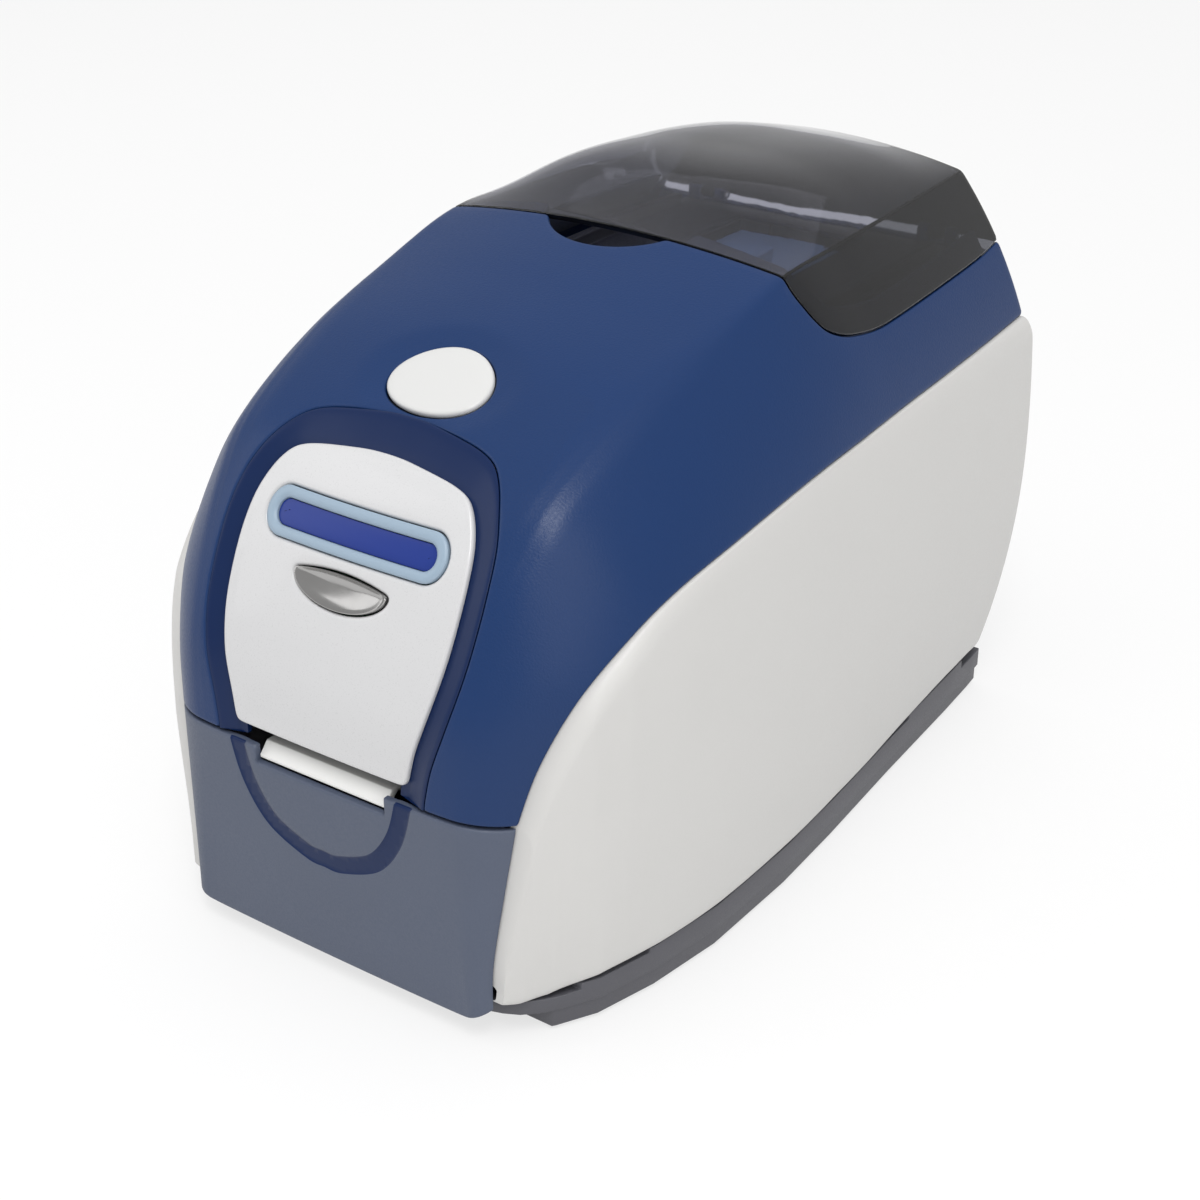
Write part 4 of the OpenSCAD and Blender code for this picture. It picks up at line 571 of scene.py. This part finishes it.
panel_steps = 8 * (1 - np.cos(np.linspace(0, np.pi / 2, 14)))
sections = []
for w in np.linspace(0.2, 14.95, 260):
    row = np.array([w])
    edge, low = panel_edge(row)[0], through(panel_low, row)[0]
    step = (panel_edge(row + 0.04) - panel_edge(row - 0.04))[0]
    tangent = step[1:] / np.linalg.norm(step[1:])
    y0, z0 = edge[1] + tangent[1] * panel_gap, edge[2] - tangent[0] * panel_gap
    tall = math.hypot(y0 - low[0], z0 - low[1])
    k = math.tanh(tall / 24)
    foot_steps = tall - 6.5 * k * np.cos(np.linspace(0, np.pi / 2, 12))
    flat_steps = np.linspace(panel_round * k, tall - 6.5 * k, 34)[1:-1]
    t = np.concatenate([panel_steps * k, flat_steps, foot_steps]) / tall
    t = np.sort(np.clip(t, 0, 1))
    y = y0 + (low[0] - y0) * t ** (1 + 2 * w / 15)
    z = z0 + (low[1] - z0) * t
    d, d2 = t * tall / k, (1 - t) * tall / k
    rise = np.sqrt(np.maximum(0, 1 - (1 - np.minimum(d, panel_round) / panel_round) ** 2))
    fall = np.sqrt(np.maximum(0, 1 - (1 - np.minimum(d2, 5) / 5) ** 2))
    x = edge[0] + 0.3 + (panel_x(y, z) - edge[0] - 0.3) * rise - (1 - fall) * 1.6
    outer = np.stack([x, y, z], 1)
    sections.append(np.concatenate([outer, (outer - [panel_wall, 0, 0])[::-1]]))


def lofted(name, sections, looped=False, indices=None):
    """Closed mesh through sections of the same number of points, each a closed line."""
    sections = np.asarray(sections, float)
    count, around = sections.shape[:2]
    faces = []
    for s in range(count if looped else count - 1):
        a, b = s * around, (s + 1) % count * around
        faces += [(a + i, a + (i + 1) % around, b + (i + 1) % around, b + i) for i in range(around)]
    if not looped:
        for base in (0, (count - 1) * around):
            faces += [(base + i, base + i + 1, base + around - 2 - i, base + around - 1 - i)
                      for i in range(around // 2 - 1)]
    return mesh_of(name, sections.reshape(-1, 3), faces, indices)


for side, name in ((1, "side_panel_right"), (-1, "side_panel_left")):
    settle(lofted(name + "_shell", np.array(sections) * [side, 1, 1]), "base", panel_grey, [name])

# ---------- hood ----------
# The hood is one blue moulding with the grain of the covers. It opens on hinges at the rear, and is cut
# out for the lid, the release button and the face plate. A rear wall closes it behind.
hood_grain = finish("hood_grain", srgb(20, 47, 90), 0.36, grain=(0.75, 0.07), mottle=0.03, Specular_IOR_Level=0.26)
cover_gap = 0.5
lid_low = 191.4
lid_side = [[8, crease_top - 0.5], [8.7, lid_low + 21.5], [10.5, lid_low + 17.1], [13.4, lid_low + 12],
            [17.7, lid_low + 7.4], [26.1, lid_low + 3.6], [36.7, lid_low + 1.3], [49.2, lid_low - 0.2],
            [64.8, lid_low - 0.4], [99.1, lid_low], [137.3, lid_low + 0.7], [rear, lid_low + 2.1]]
notch_half, notch_deep = 25, 13
notch_r = (notch_half**2 + notch_deep**2) / (2 * notch_deep)
notch_y = 4.5 - notch_deep + notch_r
rear_u = 11
plate_edge = [[36, seam_low + 1.4], [36.4, 89], [38.5, 100], [42.5, 114], [45.4, 129], [46.2, 144],
              [45.5, 157], [43.2, 166], [38, 173.9], [30, 177.5], [10, 180.1], [0, 180.5]]
surround_w = 8.2
release_tilt = math.radians(24.758)
release_at = np.array([0, -87.2, 196.751])
release_half, release_long = 19.4, 15.3


def horseshoe(grow, low=0.0, count=110):
    """The face plate's outline seen from the front, as (x, z), grown outwards: from the right end over the top."""
    u = np.linspace(low, len(plate_edge) - 1, count)
    here = through(plate_edge, u)
    ahead, behind = np.minimum(u + 0.1, len(plate_edge) - 1), np.maximum(u - 0.1, 0)
    t = through(plate_edge, ahead) - through(plate_edge, behind)
    t /= np.linalg.norm(t, axis=1)[:, None]
    half = here + np.stack([t[:, 1], -t[:, 0]], 1) * grow
    half[-1, 0] = 0
    return np.concatenate([half, half[-2::-1] * [-1, 1]])


def egg(grow, count=96):
    a = np.arange(count) * 2 * np.pi / count
    return np.stack([(release_half + grow) * np.cos(a) * (1 - 0.13 * np.sin(a)),
                     (release_long + grow) * np.sin(a)], 1)


def at_release(flat, height):
    """Points of the release button's own plane, raised above it, in the printer's frame."""
    c, s = math.cos(release_tilt), math.sin(release_tilt)
    return release_at + np.stack([flat[:, 0], flat[:, 1] * c - height * s, flat[:, 1] * s + height * c], 1)


side_curve = through(lid_side, np.linspace(0, len(lid_side) - 1, 150))
side_uv = hood_skin.locate([1, 2], side_curve, v=1.3)
side_uv[0] = [7, 1]


def lid_front(x, back=0.0):
    return 4.5 - back + 3.5 * (x / 70) ** 2


def lid_outline(grow):
    """The lid's outline on the cover, grown outwards, without the part along the rear edge: right side, from
    the rear forwards, front edge, and left side."""
    line = hood_skin.flat(side_uv)
    tangent = np.gradient(line, axis=0)
    normal = np.stack([tangent[:, 1], -tangent[:, 0]], 1) / np.linalg.norm(tangent, axis=1)[:, None]
    right = pair(hood_skin.bent(line - normal * grow * np.sign(normal[5, 0])))
    x = np.linspace(68.5, -68.5, 110)
    y = lid_front(x, grow)
    if grow:
        notch = notch_y - np.sqrt(np.maximum(0, notch_r**2 - x**2))
        y = np.where(np.abs(x) < notch_r * 0.95, np.minimum(y, notch), y)
    front_uv = hood_skin.locate([0, 1], np.stack([x, y], 1))
    return right[:0:-1], front_uv, right[1:] * [1, -1]


right_side, front_side, left_side = lid_outline(cover_gap)
opening = hood_skin.locate([0, 2], horseshoe(surround_w))
hood_u0 = 0.072
opening_v = opening[0, 1]


def along_u(cover, u0, u1, v):
    return pair(cover.bent(polyline(cover.flat(np.array([[u0, v], [u1, v]])))))


hood_loop = np.concatenate([
    pair(across_row(hood_skin, hood_u0, opening_v, 2))[:-1], along_u(hood_skin, hood_u0, rear_u, 2)[:-1],
    pair(across_row(hood_skin, rear_u, 2, right_side[0, 1]))[:-1], right_side, front_side, left_side,
    pair(across_row(hood_skin, rear_u, left_side[-1, 1], -2))[1:-1], along_u(hood_skin, rear_u, hood_u0, -2)[:-1],
    pair(across_row(hood_skin, hood_u0, -2, -opening_v))[:-1], opening[::-1][1:-1]])
egg_hole = at_release(egg(cover_gap + 0.1), 0)
egg_uv = hood_skin.locate([0, 1], egg_hole[:, :2])
egg_flat = segments_of([hood_skin.flat(egg_uv)])
dish_wide, dish_deep = 10.0, 1.6


def dish(pq):
    """The soft dished ring round the release button."""
    return dish_deep * (1 - eased(reach(pq, egg_flat) / dish_wide))


hood_us = np.interp(np.linspace(0, hood_skin.arc[-1], 130), hood_skin.arc, hood_skin.ladder)
shell = trimmed_shell("hood_shell", hood_skin, [hood_loop, egg_uv], hood_us, across_steps, cover_wall, cover_rim,
                      relief=dish)
settle(shell, "hood", [hood_grain], ["hood"])


def wall_behind(node, deep, finishes):
    """The flat wall that closes a cover behind: the CAD solid's faces within deep of the rear, a little inside
    the skin."""
    solid = bmesh.new()
    solid.from_mesh(frame["nodes"][node].data)
    before = [f for f in solid.faces if min(v.co.y for v in f.verts) < (rear - deep) * MM]
    bmesh.ops.delete(solid, geom=before, context="FACES")
    middle_z = sum(v.co.z for v in solid.verts) / len(solid.verts)
    for v in solid.verts:
        v.co = (v.co.x * 0.985, v.co.y - 0.4 * MM, middle_z + (v.co.z - middle_z) * 0.985)
    mesh = bpy.data.meshes.new(node + "_rear_wall")
    solid.to_mesh(mesh)
    solid.free()
    settle(mesh, body_of[node], finishes)


wall_behind("hood", 3.3, hood_grain)

# ---------- lid ----------
# The lid is one clear smoke-grey moulding with a sharp crease on each side, so the hopper shows dimly
# through it. It turns on two pins at the rear. Its polished edges and creases are drawn near-black as painted
# shade, and its sides in a darker smoke, also painted shade.
lid_wall = 2.2
lid_right, lid_fore, lid_left = lid_outline(0.0)
lid_back = pair(across_row(hood_skin, rear_u, lid_left[-1, 1], lid_right[0, 1]))[1:-1]
lid_loop = np.concatenate([lid_right, lid_fore, lid_left, lid_back])


def smoke_glass(name, tint, rough):
    mat = bpy.data.materials.new(name)
    mat.use_nodes = True
    tree = mat.node_tree
    shader = tree.nodes["Principled BSDF"]
    shader.inputs["Base Color"].default_value = tint
    shader.inputs["Roughness"].default_value = rough
    shader.inputs["Transmission Weight"].default_value = 1
    shader.inputs["IOR"].default_value = 1.49
    shader.inputs["Specular IOR Level"].default_value = 0.3
    place = tree.nodes.new("ShaderNodeTexCoord")
    ripple = tree.nodes.new("ShaderNodeTexNoise")
    ripple.inputs["Scale"].default_value = 60
    tree.links.new(place.outputs["Object"], ripple.inputs["Vector"])
    raised = tree.nodes.new("ShaderNodeBump")
    raised.inputs["Distance"].default_value = 0.00003
    tree.links.new(ripple.outputs["Fac"], raised.inputs["Height"])
    tree.links.new(raised.outputs["Normal"], shader.inputs["Normal"])
    clear = tree.nodes.new("ShaderNodeBsdfTransparent")
    clear.inputs["Color"].default_value = tuple(c ** 0.5 for c in tint[:3]) + (1,)
    path = tree.nodes.new("ShaderNodeLightPath")
    mix = tree.nodes.new("ShaderNodeMixShader")
    tree.links.new(path.outputs["Is Shadow Ray"], mix.inputs[0])
    tree.links.new(shader.outputs[0], mix.inputs[1])
    tree.links.new(clear.outputs[0], mix.inputs[2])
    tree.links.new(mix.outputs[0], tree.nodes["Material Output"].inputs["Surface"])
    return mat


lid_smoke = smoke_glass("lid_smoke", srgb(146, 147, 160), 0.03)
# Painted shade: a darker smoke than the top for the lid's sides beyond the creases, standing in for the shade they
# fall into
side_smoke_painted_shade = smoke_glass("side_smoke_painted_shade", srgb(92, 94, 102), 0.04)
# Painted shade: near-black for the lid's polished rims, its crease strips and its rear wall, which in clear
# plastic only look dark
lid_edge_painted_shade = finish("lid_edge_painted_shade", srgb(14, 14, 16), 0.15, grain=(2, 0.002))
# Painted shade: the rims take the near-black edge finish, and the faces beyond the creases take the darker side
# smoke
shell = trimmed_shell("lid_shell", hood_skin, [lid_loop], hood_us, across_steps, lid_wall, 0.5, rim_finish=1,
                      side_shade_finish=2)
settle(shell, "lid_body", [lid_smoke, lid_edge_painted_shade, side_smoke_painted_shade], ["lid"])
# Painted shade: the lid's rear wall in the same near-black
wall_behind("lid", 6.3, lid_edge_painted_shade)
# Painted shade: a near-black strip along each crease for its dark look, as (v, height over the skin) of its
# corners
painted_crease_shade = [(0.990, -0.1), (0.996, 0.05), (1.004, 0.05), (1.010, -0.1), (1.0, -0.5), (1.0, -0.6)]
for side, name in ((1, "right"), (-1, "left")):
    u = np.linspace(7, 10.96, 120)
    corners = [hood_skin.at(u, 0 * u + side * v) + hood_skin.facing(u, 0 * u + side * v) * lift
               for v, lift in painted_crease_shade]
    settle(lofted("lid_painted_crease_shade_" + name, np.stack(corners, 1)), "lid_body", lid_edge_painted_shade)

# ---------- face plate and its surround ----------
# The satin white plate lies in a smooth dark blue surround that slopes into the hood. Its edge is rolled,
# and it is cut out for the status window and the control button.
plate_white = finish("plate_white", srgb(190, 190, 191), 0.3, grain=(0.5, 0.006), mottle=0.01, Coat_Weight=0.2)
plate_sink, plate_wall = 0.4, 2
window_z, window_l, window_h, lens_l, lens_h = 158.6, 74.4, 15, 66, 8
crescent_half, crescent_tall, crescent_z = 19.5, 10.8, 147


def on_front(xz, depth):
    """Points at a depth under the front of the hood, placed by their x and z."""
    uv = hood_skin.locate([0, 2], xz)
    return hood_skin.at(uv[:, 0], uv[:, 1]) - hood_skin.facing(uv[:, 0], uv[:, 1]) * np.reshape(depth, (-1, 1))


def stadium(length, height, count=144):
    """Closed line round a slot with round ends, in the middle of the window."""
    r, half = height / 2, (length - height) / 2
    t = np.arange(count) / count * (4 * half + 2 * np.pi * r)
    x, z = np.empty(count), np.empty(count)
    for i, s in enumerate(t):
        if s < 2 * half:
            x[i], z[i] = half - s, r
        elif s < 2 * half + np.pi * r:
            a = np.pi / 2 + (s - 2 * half) / r
            x[i], z[i] = -half + r * math.cos(a), r * math.sin(a)
        elif s < 4 * half + np.pi * r:
            x[i], z[i] = -half + (s - 2 * half - np.pi * r), -r
        else:
            a = -np.pi / 2 + (s - 4 * half - np.pi * r) / r
            x[i], z[i] = half + r * math.cos(a), r * math.sin(a)
    return np.stack([x, z + window_z], 1)


def softened(line, radius):
    """A closed line with its corners rounded, by drawing it again through the means of its near points."""
    line = polyline(np.concatenate([line, line[:1]]), 0.6)[:-1]
    width = int(radius / 0.6) * 2 + 1
    shares = np.hanning(width + 2)[1:-1]
    shares /= shares.sum()
    wrapped = np.concatenate([line[-width:], line, line[:width]])
    return np.stack([np.convolve(wrapped[:, k], shares, "same") for k in (0, 1)], 1)[width:-width:2]


def crescent(grow, count=56):
    a = np.linspace(np.pi, 2 * np.pi, count)
    half, tips_z = crescent_half + grow, crescent_z - 2
    low = np.stack([half * np.cos(a), tips_z + (crescent_tall - 2 + grow) * np.sin(a)], 1)
    q = np.linspace(1, -1, count // 2)[1:-1]
    high = np.stack([half * q, tips_z + (2 + grow) * (1 - q * q)], 1)
    return softened(np.concatenate([low, high]), 3)


def front_loop(xz):
    return hood_skin.locate([0, 2], xz)


outline = horseshoe(0, low=1)
plate_loop = front_loop(softened(np.concatenate([outline, polyline([outline[-1], outline[0]])[1:-1]]), 7))
plate_rim = segments_of([hood_skin.flat(plate_loop)])
cut_outs = [front_loop(stadium(window_l, window_h)), front_loop(crescent(cover_gap))]
shell = trimmed_shell("face_plate_shell", hood_skin, [plate_loop] + cut_outs,
                      np.linspace(0.1, 4.4, 60), np.linspace(-0.96, 0.96, 50), plate_wall, 1.2, depth=plate_sink,
                      relief=lambda pq: 0.3 * eased((reach(pq, plate_rim) - 1.5) / 0.9))
settle(shell, "hood", plate_white, ["face_plate"])
# The surround's cross-section, as (depth under the skin, distance outside the plate)
surround_line = [(0.35, 8.0), (0.1, 7.7), (0.12, 7.2), (0.45, 6.2), (0.95, 5.0), (1.45, 3.6), (1.9, 2.2),
                 (2.3, 1.0), (2.6, 0.2), (2.6, -3), (4.4, -3), (3.4, 3.0), (2.3, 8.0)]
rings = [on_front(horseshoe(grow), depth) for depth, grow in surround_line]
settle(lofted("plate_surround_ring", np.stack(rings, 1)), "hood", band_blue, ["plate_surround"])

# ---------- status window ----------
# A pale blue translucent bezel stands a little proud of the plate, and holds a deep blue lens over the
# display. The display's board sits behind it.
bezel_blue = finish("bezel_blue", srgb(136, 154, 170), 0.42, grain=(0.4, 0.003), mottle=0.01)
lens_blue = finish("lens_blue", srgb(30, 50, 122), 0.24, grain=(0.4, 0.001), mottle=0.01, Specular_IOR_Level=0.3)
# The bezel's cross-section, as (share of the way from its outside to the lens, depth)
bezel_line = [(0, 3.0), (0, 0.55), (0.06, 0.2), (0.2, -0.05), (0.45, -0.15), (0.7, -0.02), (0.9, 0.35), (1, 0.9),
              (1, 3.0)]
rings = []
for share, depth in bezel_line:
    length = window_l - 0.6 + (lens_l - window_l + 0.6) * share
    height = window_h - 0.6 + (lens_h - window_h + 0.6) * share
    rings.append(on_front(stadium(length, height), depth))
bezel = lofted("window_bezel_ring", np.stack(rings, 1), looped=True)
settle(bezel, "hood", bezel_blue, ["window_bezel"])
rings = []
for share, depth in ((1, 2.6), (1, 1.75), (0.985, 1.6), (0.95, 1.55), (0.8, 1.5), (0.5, 1.45), (0.2, 1.45)):
    rings.append(on_front(stadium(lens_l - 0.3 - lens_h * (1 - share), (lens_h - 0.3) * share), depth))
settle(lofted("window_lens_pane", rings), "hood", lens_blue, ["window_lens"])

# ---------- control button ----------
# The half-moon control button is chrome-plated plastic, dished like a spoon within a thin bright rim.
button_chrome = finish("button_chrome", srgb(172, 171, 170), 0.2, grain=(2.5, 0.003), mottle=0.03, Metallic=1.0)
moon_middle = np.array([0, crescent_z - 4.2])
rings = []
for share, depth in ((1, 5), (1, 0.6), (0.985, 0.25), (0.96, 0.15), (0.93, 0.3), (0.88, 0.7), (0.78, 1.2),
                     (0.62, 1.75), (0.42, 2.15), (0.2, 2.35), (0.04, 2.4)):
    rings.append(on_front(moon_middle + (crescent(0) - moon_middle) * share, depth))
moon = lofted("control_button_moon", rings)
settle(moon, "control_button_body", button_chrome, ["control_button"])

# ---------- release button and latch ----------
# The egg-shaped button is glossy off-white plastic with a soft dome, and slides in a cup under the hood.
# Its stem tips the steel latch lever off the catch bar, which frees the hood.
button_white = finish("button_white", srgb(194, 194, 193), 0.34, grain=(0.5, 0.003), mottle=0.01)
latch_steel = finish("latch_steel", srgb(170, 171, 173), 0.3, grain=(0.4, 0.006), mottle=0.06, Metallic=1.0)
stem_r = 5
turn = np.arange(96) * 2 * np.pi / 96
stem = np.stack([np.cos(turn), np.sin(turn)], 1) * stem_r
rings = [at_release(stem * 0.9, -21), at_release(stem, -20.4), at_release(stem, -3.6)]
for share, height in ((0.9, -3.5), (0.99, -3.3), (1, -3), (1, -2.3), (0.994, -1.75), (0.978, -1.35), (0.95, -1.1),
                      (0.9, -0.95), (0.75, -0.86), (0.55, -0.8), (0.3, -0.76), (0.05, -0.75)):
    rings.append(at_release(egg(0) * share, height))
cap = lofted("release_button_cap", rings)
settle(cap, "release_button_body", button_white, ["release_button"])
dressed("release_guide", 0.4, slate_grain)
dressed("latch_lever", 0.4, latch_steel)
dressed("latch_bracket", 0.3, latch_steel)

# ---------- small mouldings of the hood, hinges and tongue ----------
# Knuckles, the ledge under the lid and the finger well are moulded parts of the hood. The exit tongue is
# a light plate that hands the printed card out over the fascia.
dressed("hood_knuckles", 0.4, hood_grain)
dressed("lid_ledge", 0.3, slate_grain)
dressed("finger_well", 0.3, hood_grain)
dressed("hood_hinge_arms", 0.4, slate_grain)
dressed("lid_hinge_pins", 0.2, ground_steel)
tongue_white = finish("tongue_white", srgb(214, 214, 212), 0.35, grain=(0.7, 0.01), mottle=0.01)
dressed("exit_chute", 0.9, tongue_white, segments=3)

# ---------- studio ----------
# A plain pale floor, broad soft lights and the photographed view.
floor_white = bpy.data.materials.new("floor_white")
floor_white.use_nodes = True
tree = floor_white.node_tree
shader = tree.nodes["Principled BSDF"]
shader.inputs["Base Color"].default_value = srgb(240, 240, 240)
shader.inputs["Roughness"].default_value = 0.9
shader.inputs["Specular IOR Level"].default_value = 0.1
glow = tree.nodes.new("ShaderNodeEmission")
glow.inputs["Color"].default_value = srgb(249, 249, 249)
path = tree.nodes.new("ShaderNodeLightPath")
seen = tree.nodes.new("ShaderNodeMath")
seen.operation = "MAXIMUM"
tree.links.new(path.outputs["Is Camera Ray"], seen.inputs[0])
tree.links.new(path.outputs["Is Glossy Ray"], seen.inputs[1])
also = tree.nodes.new("ShaderNodeMath")
also.operation = "MAXIMUM"
tree.links.new(seen.outputs[0], also.inputs[0])
tree.links.new(path.outputs["Is Transmission Ray"], also.inputs[1])
share = tree.nodes.new("ShaderNodeMath")
share.operation = "MULTIPLY"
share.inputs[1].default_value = 0.75
tree.links.new(also.outputs[0], share.inputs[0])
mix = tree.nodes.new("ShaderNodeMixShader")
tree.links.new(share.outputs[0], mix.inputs[0])
tree.links.new(shader.outputs[0], mix.inputs[1])
tree.links.new(glow.outputs[0], mix.inputs[2])
tree.links.new(mix.outputs[0], tree.nodes["Material Output"].inputs["Surface"])
floor_mesh = bpy.data.meshes.new("floor")
floor_mesh.from_pydata([(-7, -7, 0), (7, -7, 0), (7, 7, 0), (-7, 7, 0)], [], [(0, 1, 2, 3)])
floor_mesh.materials.append(floor_white)
floor = bpy.data.objects.new("floor", floor_mesh)
bpy.context.scene.collection.objects.link(floor)

world = bpy.data.worlds.new("studio")
bpy.context.scene.world = world
world.use_nodes = True
world.node_tree.nodes["Background"].inputs["Color"].default_value = srgb(249, 249, 249)
world.node_tree.nodes["Background"].inputs["Strength"].default_value = 0.55


def softbox(name, place, aim, size, power):
    lamp = bpy.data.lights.new(name, "AREA")
    lamp.shape = "RECTANGLE"
    lamp.size, lamp.size_y = size
    lamp.energy = power
    obj = bpy.data.objects.new(name, lamp)
    obj.location = place
    obj.rotation_euler = (Vector(aim) - Vector(place)).to_track_quat("-Z", "Y").to_euler()
    bpy.context.scene.collection.objects.link(obj)
    return obj


middle = (0, 0, 0.1)
softbox("overhead", (-0.2, 0.2, 2.2), middle, (4.2, 4.2), 50).visible_glossy = False
softbox("front_strip", (0.5, -0.68, 1.3), middle, (0.3, 0.7), 9)
softbox("right_window", (1.5, -0.9, 0.9), middle, (1.2, 1.3), 7)
softbox("left_fill", (-1.3, -0.9, 0.8), middle, (0.9, 1.2), 4)

camera_data = bpy.data.cameras.new("camera")
camera_data.lens = 64.06
camera_data.sensor_width = 36
camera = bpy.data.objects.new("camera", camera_data)
camera.location = np.array([415.1, -581.7, 446.9]) * MM
azimuth, elevation = math.radians(35.47), math.radians(27.22)
camera.rotation_euler = (math.pi / 2 - elevation, 0, azimuth)
bpy.context.scene.collection.objects.link(camera)
bpy.context.scene.camera = camera
bpy.context.scene.view_settings.view_transform = "Standard"
